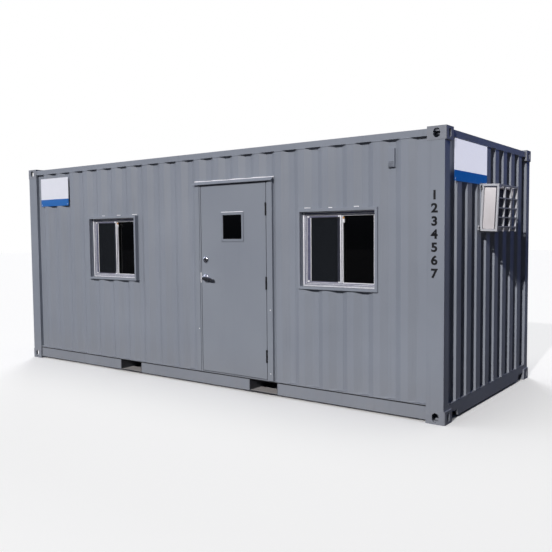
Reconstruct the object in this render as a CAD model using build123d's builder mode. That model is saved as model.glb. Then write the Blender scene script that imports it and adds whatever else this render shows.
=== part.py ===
from build123d import *
import math
import os

# A 20 ft freight container turned into a site cabin, in millimetres.
# X runs along the long side, the front (door) side faces -Y, Z is up and the four
# bottom corner castings stand on Z = 0, with the origin midway between them.

# ---------------------------------------------------------------- envelope and castings
LENGTH = 6058.0
WIDTH = 2438.0
HEIGHT = 2591.0
CASTING_LENGTH = 178.0
CASTING_WIDTH = 162.0
CASTING_HEIGHT = 118.0
CASTING_WALL = 16.0
CASTING_PLATE = 28.0
CASTING_CORNER = 14.0
LOCK_SLOT_LENGTH = 124.0
LOCK_SLOT_WIDTH = 63.5
SIDE_HOLE_WIDTH = 63.5
SIDE_HOLE_HEIGHT = 82.5
END_HOLE_WIDTH = 51.0
END_HOLE_HEIGHT = 79.5

# ---------------------------------------------------------------- steel frame
POST_SIDE_SETBACK = 3.0
POST_END_SETBACK = 14.0
POST_DEPTH = 110.0
POST_WALL = 6.0
TOP_RAIL_SIZE = 60.0
TOP_RAIL_WALL = 3.0
TOP_RAIL_DROP = 18.0
TOP_RAIL_SETBACK = 6.0
BASE_RAIL_BOTTOM = 24.0
BASE_RAIL_HEIGHT = 140.0
BASE_RAIL_SETBACK = 19.0
BASE_RAIL_LIP_SETBACK = 4.0
BASE_RAIL_FLANGE = 63.0
BASE_RAIL_FOOT = 44.0
BASE_RAIL_WALL = 4.5
BASE_RAIL_LIP = 6.0
SILL_FLANGE = 60.0
SILL_NOTCH_HEIGHT = 56.0
SILL_NOTCH_TOP_WIDTH = 150.0
SILL_NOTCH_FLARE = 26.0
SILL_NOTCH_DEPTH = 24.0
POCKET_WIDTH = 360.0
POCKET_HEIGHT = 115.0
POCKET_CENTRE = 1025.0
POCKET_PLATE = 6.0
POCKET_FLOOR_LENGTH = 200.0
BEAM_HEIGHT = 100.0
BEAM_FLANGE = 45.0
BEAM_WALL = 4.0
BEAM_PITCH = 300.0
BOARD_THICKNESS = 28.0
BOARD_GAP = 2.0
WELD_SEAM = 0.3

# ---------------------------------------------------------------- corrugated cladding
SHEET = 2.0
WALL_SETBACK = 7.0
SIDE_PITCH = 278.0
SIDE_CREST = 72.0
SIDE_WEB = 68.0
SIDE_DEPTH = 36.0
END_WALL_INSET = 3.0
END_PITCH = 250.0
END_CREST = 110.0
END_WEB = 18.0
END_DEPTH = 45.6
END_CREST_COUNT = 8
ROOF_RIB_HEIGHT = 8.0
ROOF_RIB_WIDTH = 105.0
ROOF_PITCH = 209.0
ROOF_RIB_MARGIN = 90.0
ROOF_PLAIN_END = 165.0
HEADER_PLATE = 3.0

# ---------------------------------------------------------------- lining
SIDE_LINING = 70.0
END_LINING = 115.0
CEILING_LINING = 50.0

# ---------------------------------------------------------------- windows
WINDOW_LEFT_INSET = 1724.0
WINDOW_RIGHT_INSET = 1092.0
WINDOW_SILL = 1163.0
WINDOW_WIDTH = 830.0
WINDOW_HEIGHT = 730.0
SURROUND_BAR = 25.0
SURROUND_PROUD = 21.0
SASH_RECESS = 72.0
FRAME_DEPTH = 50.0
FRAME_SIDE = 40.0
FRAME_HEAD = 34.0
FRAME_FOOT = 36.0
TRACK_WALL = 3.0
SASH_DEPTH = 20.0
SASH_STILE = 52.0
SASH_TOP = 20.0
SASH_FOOT = 14.0
MEETING_STILE = 48.0
FIXED_BEAD = 9.0
PANE = 5.0

# ---------------------------------------------------------------- door
DOOR_X = 645.0
LEAF_WIDTH = 896.0
DOOR_HEADROOM = 255.0
LEAF_THICKNESS = 45.0
LEAF_GAP = 7.0
THRESHOLD_HEIGHT = 6.0
JAMB_STRIP = 18.0
JAMB_TRIM = 58.0
HEAD_TRIM = 20.0
TRIM_PROUD = 14.0
STRIP_SETBACK = 7.0
STOP_WIDTH = 16.0
VISION_SIZE = 258.0
VISION_RIM = 27.0
VISION_RIM_PROUD = 6.0
VISION_SETBACK = 5.0
VISION_DROP = 452.0
VISION_LINER = 5.0
HINGE_HEIGHT = 127.0
HINGE_FOOT_INSET = 240.0
HINGE_TOP_INSET = 275.0
KNUCKLE_RADIUS = 8.0
KNUCKLE_GAP = 0.4
PIN_RADIUS = 4.0
PIN_CLEARANCE = 0.4
HINGE_PLATE = 3.0
HINGE_PLATE_DEPTH = 30.0
LOCK_BACKSET = 66.0
LEVER_Z = 1207.0
ROSE_RADIUS = 42.0
ROSE_THICKNESS = 12.0
LEVER_NECK_RADIUS = 11.0
LEVER_REACH = 52.0
LEVER_LENGTH = 140.0
LEVER_BAR = 24.0
SPINDLE_CLEARANCE = 1.0
DEADBOLT_Z = 1409.0
DEADBOLT_RADIUS = 29.0
DEADBOLT_THICKNESS = 14.0
CAP_REACH = 30.0
CAP_HEIGHT = 34.0
CAP_LIP = 8.0
CAP_SHEET = 3.0
CAP_OVERHANG = 16.0

# ---------------------------------------------------------------- air conditioner, cage, vent
COOLER_TILT = 2.5
COOLER_Y = -70.0
COOLER_Z = 1693.0
COOLER_WIDTH = 526.0
COOLER_HEIGHT = 400.0
COOLER_DEPTH = 500.0
COOLER_REACH = 128.0
COOLER_CUT_GAP = 12.0
CAGE_WIDTH = 580.0
CAGE_HEIGHT = 447.0
CAGE_DEPTH = 166.0
CAGE_BAR = 20.0
CAGE_RUNGS = (0.09, 0.29, 0.49, 0.70)
VENT_WIDTH = 66.0
VENT_HEIGHT = 165.0
VENT_DEPTH = 26.0
VENT_DROP = 77.0
VENT_WALL = 3.0

# ---------------------------------------------------------------- planes worked out from the sizes
END_X = LENGTH / 2
SIDE_Y = WIDTH / 2
POST_X = END_X - POST_END_SETBACK
POST_Y = SIDE_Y - POST_SIDE_SETBACK
BAY_X = END_X - CASTING_LENGTH
BAY_Y = SIDE_Y - CASTING_WIDTH
POST_INNER_Y = POST_Y - POST_DEPTH
POST_FOOT = CASTING_HEIGHT
POST_TOP = HEIGHT - CASTING_HEIGHT
TOP_RAIL_TOP = HEIGHT - TOP_RAIL_DROP
TOP_RAIL_BORE = TOP_RAIL_SIZE - 2 * TOP_RAIL_WALL
TOP_RAIL_FOOT = TOP_RAIL_TOP - TOP_RAIL_SIZE
TOP_RAIL_Y = SIDE_Y - TOP_RAIL_SETBACK
BASE_RAIL_Y = SIDE_Y - BASE_RAIL_SETBACK
BASE_LIP_Y = SIDE_Y - BASE_RAIL_LIP_SETBACK
BASE_TOP = BASE_RAIL_BOTTOM + BASE_RAIL_HEIGHT
BASE_INNER_Y = BASE_LIP_Y - BASE_RAIL_FLANGE
CREST_Y = SIDE_Y - WALL_SETBACK
TROUGH_BACK_Y = CREST_Y - SIDE_DEPTH - SHEET
CREST_X = POST_X - END_WALL_INSET
TROUGH_BACK_X = CREST_X - END_DEPTH - SHEET
POCKET_FLOOR = BASE_RAIL_BOTTOM + POCKET_PLATE
POCKET_TOP = POCKET_FLOOR + POCKET_HEIGHT
BEAM_TOP = POCKET_TOP + POCKET_PLATE
FLOOR_TOP = BEAM_TOP + BOARD_THICKNESS
ROOM_Y = TROUGH_BACK_Y - SIDE_LINING
ROOM_X = TROUGH_BACK_X - END_LINING
ROOM_TOP = POST_TOP - BOARD_GAP
WINDOW_LEFT_X = -END_X + WINDOW_LEFT_INSET
WINDOW_RIGHT_X = END_X - WINDOW_RIGHT_INSET
SURROUND_Y = CREST_Y + SURROUND_PROUD
SASH_Y = SURROUND_Y - SASH_RECESS
SEAL = 0.3
RAIL_TOP = BASE_TOP - BASE_RAIL_LIP

# The door opening, its frame and the leaf follow one another outwards from the leaf.
TRIM_Y = CREST_Y + TRIM_PROUD
STRIP_Y = TRIM_Y - STRIP_SETBACK
LEAF_LEFT = DOOR_X - LEAF_WIDTH / 2
LEAF_RIGHT = DOOR_X + LEAF_WIDTH / 2
STRIP_LEFT = LEAF_LEFT - LEAF_GAP
STRIP_RIGHT = LEAF_RIGHT + LEAF_GAP
JAMB_LEFT = STRIP_LEFT - JAMB_STRIP - JAMB_TRIM
JAMB_RIGHT = STRIP_RIGHT + JAMB_STRIP + JAMB_TRIM
THRESHOLD_TOP = BASE_TOP + THRESHOLD_HEIGHT
LEAF_FOOT = THRESHOLD_TOP + LEAF_GAP
HEAD_TOP = TOP_RAIL_FOOT - DOOR_HEADROOM
STRIP_TOP = HEAD_TOP - HEAD_TRIM - JAMB_STRIP
LEAF_TOP = STRIP_TOP - LEAF_GAP
VISION_Z = LEAF_TOP - VISION_DROP
LEAF_BACK_Y = STRIP_Y - LEAF_THICKNESS
STOP_Y = LEAF_BACK_Y - LEAF_GAP
HINGE_X = LEAF_RIGHT + LEAF_GAP / 2
HINGE_Y = STRIP_Y + KNUCKLE_RADIUS + KNUCKLE_GAP
LEVER_X = LEAF_LEFT + LOCK_BACKSET
HINGE_LOW = LEAF_FOOT + HINGE_FOOT_INSET
HINGE_HIGH = LEAF_TOP - HINGE_TOP_INSET
HINGE_ZS = (HINGE_LOW, (HINGE_LOW + HINGE_HIGH) / 2, HINGE_HIGH)
SIGNS = ((-1, -1), (1, -1), (-1, 1), (1, 1))

os.makedirs("parts", exist_ok=True)


def save(solid, name):
    """Label a finished piece and write it to its own STEP file."""
    solid.label = name
    export_step(solid, f"parts/{name}.step")


def block(x0, x1, y0, y1, z0, z1, mode=Mode.ADD):
    """A box between two corners, for use inside a BuildPart."""
    with Locations(((x0 + x1) / 2, (y0 + y1) / 2, (z0 + z1) / 2)):
        Box(abs(x1 - x0), abs(y1 - y0), abs(z1 - z0), mode=mode)


def wave(centres, crest, web, depth, start, end):
    """Both faces of a trapezoid-corrugated sheet: the outline of its cross-section.

    The first coordinate runs along the wall and the second is the distance behind the crests.
    The back face is a true offset, so the webs keep the sheet's thickness.
    """
    shift = SHEET * math.tan(math.atan2(depth, web) / 2)

    def face(half_crest, level):
        line = [(start, depth + level)]
        for c in centres:
            line.append((c - half_crest - web, depth + level))
            line.append((c - half_crest, level))
            line.append((c + half_crest, level))
            line.append((c + half_crest + web, depth + level))
        line.append((end, depth + level))
        return line

    front = face(crest / 2, 0.0)
    back = face(crest / 2 - shift, SHEET)
    return front + back[::-1]


def side_crests():
    """Crest centres along a side wall, laid out from its middle, that fit between the posts."""
    reach = BAY_X - SIDE_CREST / 2 - SIDE_WEB
    count = int((reach - SIDE_PITCH / 2) / SIDE_PITCH) + 1
    return [(i + 0.5) * SIDE_PITCH for i in range(-count, count)]


def end_crests():
    """Crest centres across an end wall."""
    return [(i - (END_CREST_COUNT - 1) / 2) * END_PITCH for i in range(END_CREST_COUNT)]


def side_sheet(side):
    """The whole corrugated sheet of one long side, from post to post and rail to rail."""
    outline = wave(side_crests(), SIDE_CREST, SIDE_WEB, SIDE_DEPTH, -BAY_X, BAY_X)
    with BuildPart() as sheet:
        with BuildSketch(Plane.XY.offset(BASE_TOP)):
            with BuildLine():
                Polyline(*[(x, side * (CREST_Y - d)) for x, d in outline], close=True)
            make_face()
        extrude(amount=TOP_RAIL_FOOT - BASE_TOP)
    return sheet.part


def end_sheet(side):
    """The corrugated sheet of one end, and the flat strips that close it against the posts."""
    reach = BAY_Y - WELD_SEAM
    outline = wave(end_crests(), END_CREST, END_WEB, END_DEPTH, -reach, reach)
    with BuildPart() as sheet:
        with BuildSketch(Plane.XY.offset(BASE_TOP)):
            with BuildLine():
                Polyline(*[(side * (CREST_X - d), y) for y, d in outline], close=True)
            make_face()
        extrude(amount=TOP_RAIL_FOOT - BASE_TOP)
        x_back = side * TROUGH_BACK_X
        x_face = side * (TROUGH_BACK_X + SHEET)
        for y_side in (-1, 1):
            block(x_back, x_face, y_side * BAY_Y, y_side * POST_INNER_Y, BASE_TOP, POST_TOP)
    return sheet.part


# ---------------------------------------------------------------- corner castings
def corner_casting(sx, sy, base):
    """A hollow cast corner: a lock slot in its outer plate and a hole in its two outer sides."""
    x_mid = sx * (END_X - CASTING_LENGTH / 2)
    y_mid = sy * (SIDE_Y - CASTING_WIDTH / 2)
    z_low = 0.0 if base else HEIGHT - CASTING_HEIGHT
    z_mid = z_low + CASTING_HEIGHT / 2
    slot_z = 0.0 if base else HEIGHT
    inner = CASTING_HEIGHT - CASTING_PLATE - CASTING_WALL
    hollow_z = z_low + inner / 2 + (CASTING_PLATE if base else CASTING_WALL)
    with BuildPart() as casting:
        with Locations((x_mid, y_mid, z_mid)):
            Box(CASTING_LENGTH, CASTING_WIDTH, CASTING_HEIGHT)
        uprights = casting.edges().filter_by(Axis.Z)
        corner = uprights.sort_by(lambda e: sx * e.center().X + sy * e.center().Y)[-1]
        fillet(corner, CASTING_CORNER)
        with Locations((x_mid, y_mid, hollow_z)):
            walls = 2 * CASTING_WALL
            Box(CASTING_LENGTH - walls, CASTING_WIDTH - walls, inner, mode=Mode.SUBTRACT)
        with BuildSketch(Plane.XY.offset(slot_z)):
            with Locations((x_mid, y_mid)):
                SlotOverall(LOCK_SLOT_LENGTH, LOCK_SLOT_WIDTH)
        extrude(amount=(1 if base else -1) * CASTING_PLATE, mode=Mode.SUBTRACT)
        with BuildSketch(Plane.XZ.offset(-sy * SIDE_Y)):
            with Locations((x_mid, z_mid)):
                SlotOverall(SIDE_HOLE_HEIGHT, SIDE_HOLE_WIDTH, rotation=90)
        extrude(amount=sy * CASTING_WALL, mode=Mode.SUBTRACT)
        with BuildSketch(Plane.YZ.offset(sx * END_X)):
            with Locations((y_mid, z_mid)):
                SlotOverall(END_HOLE_HEIGHT, END_HOLE_WIDTH, rotation=90)
        extrude(amount=-sx * CASTING_WALL, mode=Mode.SUBTRACT)
    return casting.part


for level, is_base in (("bottom", True), ("top", False)):
    with BuildPart() as castings:
        for sx, sy in SIGNS:
            add(corner_casting(sx, sy, is_base))
    save(castings.part, f"corner_castings_{level}")


# ---------------------------------------------------------------- posts and rails
with BuildPart() as posts:
    for sx, sy in SIGNS:
        with BuildSketch(Plane.XY.offset(POST_FOOT)):
            with Locations((sx * (POST_X + BAY_X) / 2, sy * (POST_Y - POST_DEPTH / 2))):
                Rectangle(POST_X - BAY_X, POST_DEPTH)
                Rectangle(POST_X - BAY_X - 2 * POST_WALL, POST_DEPTH - 2 * POST_WALL, mode=Mode.SUBTRACT)
        extrude(amount=POST_TOP - POST_FOOT)
save(posts.part, "corner_posts")

for side, name in ((-1, "front"), (1, "back")):
    with BuildPart() as rail:
        with BuildSketch(Plane.YZ.offset(-BAY_X)):
            with Locations((side * (TOP_RAIL_Y - TOP_RAIL_SIZE / 2), TOP_RAIL_TOP - TOP_RAIL_SIZE / 2)):
                Rectangle(TOP_RAIL_SIZE, TOP_RAIL_SIZE)
                Rectangle(TOP_RAIL_BORE, TOP_RAIL_BORE, mode=Mode.SUBTRACT)
        extrude(amount=2 * BAY_X)
    save(rail.part, f"top_side_rail_{name}")

for side, name in ((-1, "left"), (1, "right")):
    with BuildPart() as rail:
        with BuildSketch(Plane.XZ.offset(-BAY_Y)):
            with Locations((side * (POST_X - TOP_RAIL_SIZE / 2), TOP_RAIL_TOP - TOP_RAIL_SIZE / 2)):
                Rectangle(TOP_RAIL_SIZE, TOP_RAIL_SIZE)
                Rectangle(TOP_RAIL_BORE, TOP_RAIL_BORE, mode=Mode.SUBTRACT)
        extrude(amount=2 * BAY_Y)
    save(rail.part, f"top_end_rail_{name}")

# The bottom side rail is a channel in three lengths, stopped at the forklift pockets.
for side, name in ((-1, "front"), (1, "back")):
    web_in = BASE_RAIL_Y - BASE_RAIL_WALL
    foot_in = BASE_RAIL_Y - BASE_RAIL_FOOT
    foot_top = BASE_RAIL_BOTTOM + BASE_RAIL_WALL
    with BuildPart() as rail:
        block(-BAY_X, BAY_X, side * web_in, side * BASE_RAIL_Y, BASE_RAIL_BOTTOM, RAIL_TOP)
        block(-BAY_X, BAY_X, side * foot_in, side * BASE_RAIL_Y, BASE_RAIL_BOTTOM, foot_top)
        for x in (-POCKET_CENTRE, POCKET_CENTRE):
            half = POCKET_WIDTH / 2 + POCKET_PLATE + WELD_SEAM
            block(x - half, x + half, side * foot_in, side * BASE_RAIL_Y, 0, HEIGHT, Mode.SUBTRACT)
    save(rail.part, f"bottom_side_rail_{name}")

# A plate runs along the top of each rail, carries the wall and overhangs the rail as a drip lip.
with BuildPart() as lips:
    for side in (-1, 1):
        block(-BAY_X, BAY_X, side * BASE_INNER_Y, side * BASE_LIP_Y, RAIL_TOP, BASE_TOP)
save(lips.part, "bottom_rail_lips")


def notch_edge(y_side, widen=0.0):
    """The trapezoid recess beside one bottom casting, as (y, z) points on the sill's face."""
    outer = BAY_Y
    top = outer - SILL_NOTCH_TOP_WIDTH - widen
    foot = top - SILL_NOTCH_FLARE
    z_top = BASE_RAIL_BOTTOM + SILL_NOTCH_HEIGHT + widen
    z_foot = BASE_RAIL_BOTTOM
    return [(y_side * outer, z_top), (y_side * top, z_top), (y_side * foot, z_foot), (y_side * outer, z_foot)]


# The end sill is a channel between the castings, with a boxed recess beside each one. Closing plates
# carry its face on over the castings to the posts.
for side, name in ((-1, "left"), (1, "right")):
    web_x = side * POST_X
    with BuildPart() as sill:
        web_in = side * (POST_X - BASE_RAIL_WALL)
        block(web_in, web_x, -BAY_Y, BAY_Y, BASE_RAIL_BOTTOM, BASE_TOP)
        for y_side in (-1, 1):
            y_in = y_side * (BAY_Y + WELD_SEAM)
            block(web_in, web_x, y_in, y_side * POST_INNER_Y, CASTING_HEIGHT, BASE_TOP)
        flange_in = side * (POST_X - SILL_FLANGE)
        block(flange_in, web_x, -BAY_Y, BAY_Y, RAIL_TOP, BASE_TOP)
        block(flange_in, web_x, -BAY_Y, BAY_Y, BASE_RAIL_BOTTOM, BASE_RAIL_BOTTOM + BASE_RAIL_WALL)
        for y_side in (-1, 1):
            with BuildSketch(Plane.YZ.offset(side * (POST_X - SILL_NOTCH_DEPTH))):
                with BuildLine():
                    Polyline(*notch_edge(y_side, BASE_RAIL_WALL), close=True)
                make_face()
            extrude(amount=side * SILL_NOTCH_DEPTH)
            with BuildSketch(Plane.YZ.offset(side * (POST_X - SILL_FLANGE))):
                with BuildLine():
                    Polyline(*notch_edge(y_side), close=True)
                make_face()
            extrude(amount=side * SILL_FLANGE, mode=Mode.SUBTRACT)
    save(sill.part, f"bottom_end_sill_{name}")

# ---------------------------------------------------------------- floor
# Each forklift pocket is a tunnel of plates welded along their edges, open underneath in the middle.
with BuildPart() as pockets:
    for x in (-POCKET_CENTRE, POCKET_CENTRE):
        x0 = x - POCKET_WIDTH / 2
        x1 = x + POCKET_WIDTH / 2
        y1 = BASE_RAIL_Y
        for x_web in (x0 - POCKET_PLATE, x1):
            block(x_web, x_web + POCKET_PLATE, -y1, y1, BASE_RAIL_BOTTOM, POCKET_TOP - WELD_SEAM)
        block(x0 - POCKET_PLATE, x1 + POCKET_PLATE, -y1, y1, POCKET_TOP, BEAM_TOP)
        for side in (-1, 1):
            y_in = side * (y1 - POCKET_FLOOR_LENGTH)
            block(x0 + WELD_SEAM, x1 - WELD_SEAM, y_in, side * y1, BASE_RAIL_BOTTOM, POCKET_FLOOR)
save(pockets.part, "forklift_pockets")


def beam_places():
    """Cross-member positions at an even pitch, leaving out those inside a forklift pocket."""
    count = int((BAY_X - BEAM_FLANGE) / BEAM_PITCH)
    keep_off = POCKET_WIDTH / 2 + POCKET_PLATE + BEAM_FLANGE
    places = [i * BEAM_PITCH for i in range(-count, count + 1)]
    return [x for x in places if abs(abs(x) - POCKET_CENTRE) > keep_off]


with BuildPart() as beams:
    beam_y = BASE_RAIL_Y - BASE_RAIL_WALL
    for x in beam_places():
        foot = BEAM_TOP - BEAM_HEIGHT
        block(x, x + BEAM_WALL, -beam_y, beam_y, foot, BEAM_TOP)
        block(x, x + BEAM_FLANGE, -beam_y, beam_y, BEAM_TOP - BEAM_WALL, BEAM_TOP)
        block(x, x + BEAM_FLANGE, -beam_y, beam_y, foot, foot + BEAM_WALL)
save(beams.part, "floor_cross_members")

with BuildPart() as boards:
    board_y = BASE_INNER_Y - BOARD_GAP
    board_x = POST_X - SILL_FLANGE - BOARD_GAP
    block(-board_x, board_x, -board_y, board_y, BEAM_TOP, FLOOR_TOP)
    for sx, sy in SIGNS:
        x_out = sx * END_X
        y_out = sy * SIDE_Y
        block(sx * (BAY_X - BOARD_GAP), x_out, sy * (BAY_Y - BOARD_GAP), y_out, 0, HEIGHT, Mode.SUBTRACT)
save(boards.part, "floor_boards")


# ---------------------------------------------------------------- corrugated walls and roof
def window_cut(x_mid, grow=0.0):
    """The hole for one window surround, cut right through the wall at the front."""
    half = WINDOW_WIDTH / 2 + SURROUND_BAR + grow
    z0 = WINDOW_SILL - SURROUND_BAR - grow
    z1 = WINDOW_SILL + WINDOW_HEIGHT + SURROUND_BAR + grow
    block(x_mid - half, x_mid + half, -SIDE_Y, -ROOM_Y, z0, z1, Mode.SUBTRACT)


front_sheet = side_sheet(-1)

with BuildPart() as wall:
    add(front_sheet)
    block(-BAY_X, JAMB_LEFT, -SIDE_Y, 0, BASE_TOP, TOP_RAIL_FOOT, Mode.INTERSECT)
    window_cut(WINDOW_LEFT_X)
save(wall.part, "front_wall_left")

with BuildPart() as wall:
    add(front_sheet)
    block(JAMB_RIGHT, BAY_X, -SIDE_Y, 0, BASE_TOP, TOP_RAIL_FOOT, Mode.INTERSECT)
    window_cut(WINDOW_RIGHT_X)
save(wall.part, "front_wall_right")

with BuildPart() as wall:
    add(front_sheet)
    block(JAMB_LEFT, JAMB_RIGHT, -SIDE_Y, 0, HEAD_TOP, TOP_RAIL_FOOT, Mode.INTERSECT)
save(wall.part, "front_wall_over_door")

save(side_sheet(1), "back_wall")
save(end_sheet(-1), "end_wall_left")


def cooler_plane():
    """The frame of the air conditioner and its cage: out of the wall along x, leaning with the unit."""
    tilt = math.radians(COOLER_TILT)
    outward = (math.cos(tilt), 0, -math.sin(tilt))
    across = (0, 1, 0)
    upward = (math.sin(tilt), 0, math.cos(tilt))
    return Plane(origin=(CREST_X, COOLER_Y, COOLER_Z), x_dir=outward, z_dir=upward), across


def cooler_rise(x):
    """How far the leaning unit's underside stands above COOLER_Z at a distance x inside the crests."""
    return math.tan(math.radians(COOLER_TILT)) * x


COOLER_FOOT = CAGE_BAR + SEAL
CUT_LOW = COOLER_Z + COOLER_FOOT - COOLER_CUT_GAP
CUT_HIGH = COOLER_Z + COOLER_FOOT + COOLER_HEIGHT + cooler_rise(CREST_X - ROOM_X) + COOLER_CUT_GAP


def cooler_cut():
    """The hole that the air conditioner passes through, in the end wall and in its lining."""
    half = COOLER_WIDTH / 2 + COOLER_CUT_GAP
    block(ROOM_X, END_X, COOLER_Y - half, COOLER_Y + half, CUT_LOW, CUT_HIGH, Mode.SUBTRACT)


with BuildPart() as wall:
    add(end_sheet(1))
    cooler_cut()
save(wall.part, "end_wall_right")

# The roof is one stamped sheet: rows of shallow raised pans between plain margins. A flat header
# plate carries it on between the castings at each end.
with BuildPart() as roof:
    edge_x = BAY_X - WELD_SEAM
    edge_y = TOP_RAIL_Y - TOP_RAIL_SIZE / 2
    rib_span = 2 * (edge_x - ROOF_PLAIN_END)
    rib_count = int(rib_span / ROOF_PITCH)
    rib_length = 2 * (edge_y - ROOF_RIB_MARGIN)
    block(-edge_x, edge_x, -edge_y, edge_y, TOP_RAIL_TOP, TOP_RAIL_TOP + SHEET)
    with BuildSketch(Plane.XY.offset(TOP_RAIL_TOP + SHEET)):
        with GridLocations(ROOF_PITCH, 0, rib_count, 1):
            Rectangle(ROOF_RIB_WIDTH, rib_length)
    extrude(amount=ROOF_RIB_HEIGHT, taper=45)
    with BuildSketch(Plane.XY.offset(TOP_RAIL_TOP)):
        with GridLocations(ROOF_PITCH, 0, rib_count, 1):
            Rectangle(ROOF_RIB_WIDTH - SHEET, rib_length - SHEET)
    extrude(amount=ROOF_RIB_HEIGHT, taper=45, mode=Mode.SUBTRACT)
save(roof.part, "roof_panel")

with BuildPart() as headers:
    header_y = BAY_Y - WELD_SEAM
    header_x = POST_X - TOP_RAIL_SIZE / 2
    for side in (-1, 1):
        block(side * BAY_X, side * header_x, -header_y, header_y, TOP_RAIL_TOP, TOP_RAIL_TOP + HEADER_PLATE)
save(headers.part, "roof_headers")

# ---------------------------------------------------------------- lining
with BuildPart() as lining:
    for x0, x1 in ((-BAY_X, JAMB_LEFT), (JAMB_RIGHT, BAY_X)):
        block(x0, x1, -TROUGH_BACK_Y, -ROOM_Y, FLOOR_TOP, ROOM_TOP)
    window_cut(WINDOW_LEFT_X)
    window_cut(WINDOW_RIGHT_X)
    block(-BAY_X, BAY_X, TROUGH_BACK_Y, ROOM_Y, FLOOR_TOP, ROOM_TOP)
save(lining.part, "lining_sides")

with BuildPart() as lining:
    block(JAMB_LEFT, JAMB_RIGHT, -TROUGH_BACK_Y, -ROOM_Y, HEAD_TOP, ROOM_TOP)
save(lining.part, "lining_over_door")

with BuildPart() as lining:
    end_y = min(ROOM_Y, POST_INNER_Y)
    for side in (-1, 1):
        block(side * ROOM_X, side * TROUGH_BACK_X, -end_y, end_y, FLOOR_TOP, ROOM_TOP)
    cooler_cut()
save(lining.part, "lining_ends")

with BuildPart() as ceiling:
    ceiling_y = TOP_RAIL_Y - TOP_RAIL_SIZE - BOARD_GAP
    ceiling_x = BAY_X - BOARD_GAP
    block(-ceiling_x, ceiling_x, -ceiling_y, ceiling_y, ROOM_TOP, ROOM_TOP + CEILING_LINING)
save(ceiling.part, "ceiling_lining")

# ---------------------------------------------------------------- windows
WINDOWS = (("left", WINDOW_LEFT_X), ("right", WINDOW_RIGHT_X))
WINDOW_TOP = WINDOW_SILL + WINDOW_HEIGHT
FRAME_BACK_Y = SASH_Y - FRAME_DEPTH


def ring(x0, x1, z0, z1, left, right, foot, head, y0, y1):
    """A rectangular frame in a wall: the outer edges, then the width of each of its four bars."""
    block(x0, x1, y0, y1, z0, z1)
    block(x0 + left, x1 - right, y0, y1, z0 + foot, z1 - head, Mode.SUBTRACT)


FRAME_FOOT_Z = WINDOW_SILL + FRAME_FOOT
FRAME_HEAD_Z = WINDOW_TOP - FRAME_HEAD
TRACK_Y = SASH_Y - TRACK_WALL
TRACK_BACK_Y = TRACK_Y - SASH_DEPTH - 2 * SEAL

for name, x_mid in WINDOWS:
    bar = SURROUND_BAR
    x0 = x_mid - WINDOW_WIDTH / 2 - bar
    x1 = x_mid + WINDOW_WIDTH / 2 + bar
    z0 = WINDOW_SILL - bar
    z1 = WINDOW_TOP + bar
    with BuildPart() as surround:
        ring(x0, x1, z0, z1, bar, bar, bar, bar, -SURROUND_Y, -ROOM_Y)
    save(surround.part, f"window_surround_{name}")

# Each aluminium frame carries a sliding sash in its front track and a fixed pane on the right.
with BuildPart() as frames:
    for name, x_mid in WINDOWS:
        x0 = x_mid - WINDOW_WIDTH / 2
        x1 = x_mid + WINDOW_WIDTH / 2
        side = FRAME_SIDE
        ring(x0, x1, WINDOW_SILL, WINDOW_TOP, side, side, FRAME_FOOT, FRAME_HEAD, -SASH_Y, -FRAME_BACK_Y)
        meeting = x_mid + MEETING_STILE / 2
        block(meeting - MEETING_STILE, x1 - side, -TRACK_BACK_Y, -FRAME_BACK_Y, FRAME_FOOT_Z, FRAME_HEAD_Z)
        b0 = FRAME_FOOT_Z + FIXED_BEAD
        b1 = FRAME_HEAD_Z - FIXED_BEAD
        block(meeting, x1 - side - FIXED_BEAD, -TRACK_BACK_Y, -FRAME_BACK_Y, b0, b1, Mode.SUBTRACT)
save(frames.part, "window_frames")

with BuildPart() as sashes:
    for name, x_mid in WINDOWS:
        x0 = x_mid - WINDOW_WIDTH / 2 + FRAME_SIDE + SEAL
        x1 = x_mid + MEETING_STILE / 2
        z0 = FRAME_FOOT_Z + SEAL
        z1 = FRAME_HEAD_Z - SEAL
        y0 = -TRACK_Y
        y1 = -TRACK_Y + SASH_DEPTH
        ring(x0, x1, z0, z1, SASH_STILE, MEETING_STILE, SASH_FOOT, SASH_TOP, y0, y1)
save(sashes.part, "window_sashes")

with BuildPart() as glass:
    for name, x_mid in WINDOWS:
        meeting = x_mid + MEETING_STILE / 2
        x0 = x_mid - WINDOW_WIDTH / 2 + FRAME_SIDE + SEAL + SASH_STILE
        z0 = FRAME_FOOT_Z + SEAL + SASH_FOOT
        z1 = FRAME_HEAD_Z - SEAL - SASH_TOP
        y_mid = -TRACK_Y + SASH_DEPTH / 2
        block(x0, meeting - MEETING_STILE, y_mid, y_mid + PANE, z0, z1)
        x1 = x_mid + WINDOW_WIDTH / 2 - FRAME_SIDE - FIXED_BEAD
        y_fixed = -(TRACK_BACK_Y + FRAME_BACK_Y) / 2
        block(meeting, x1, y_fixed, y_fixed + PANE, FRAME_FOOT_Z + FIXED_BEAD, FRAME_HEAD_Z - FIXED_BEAD)
save(glass.part, "window_glass")

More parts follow.
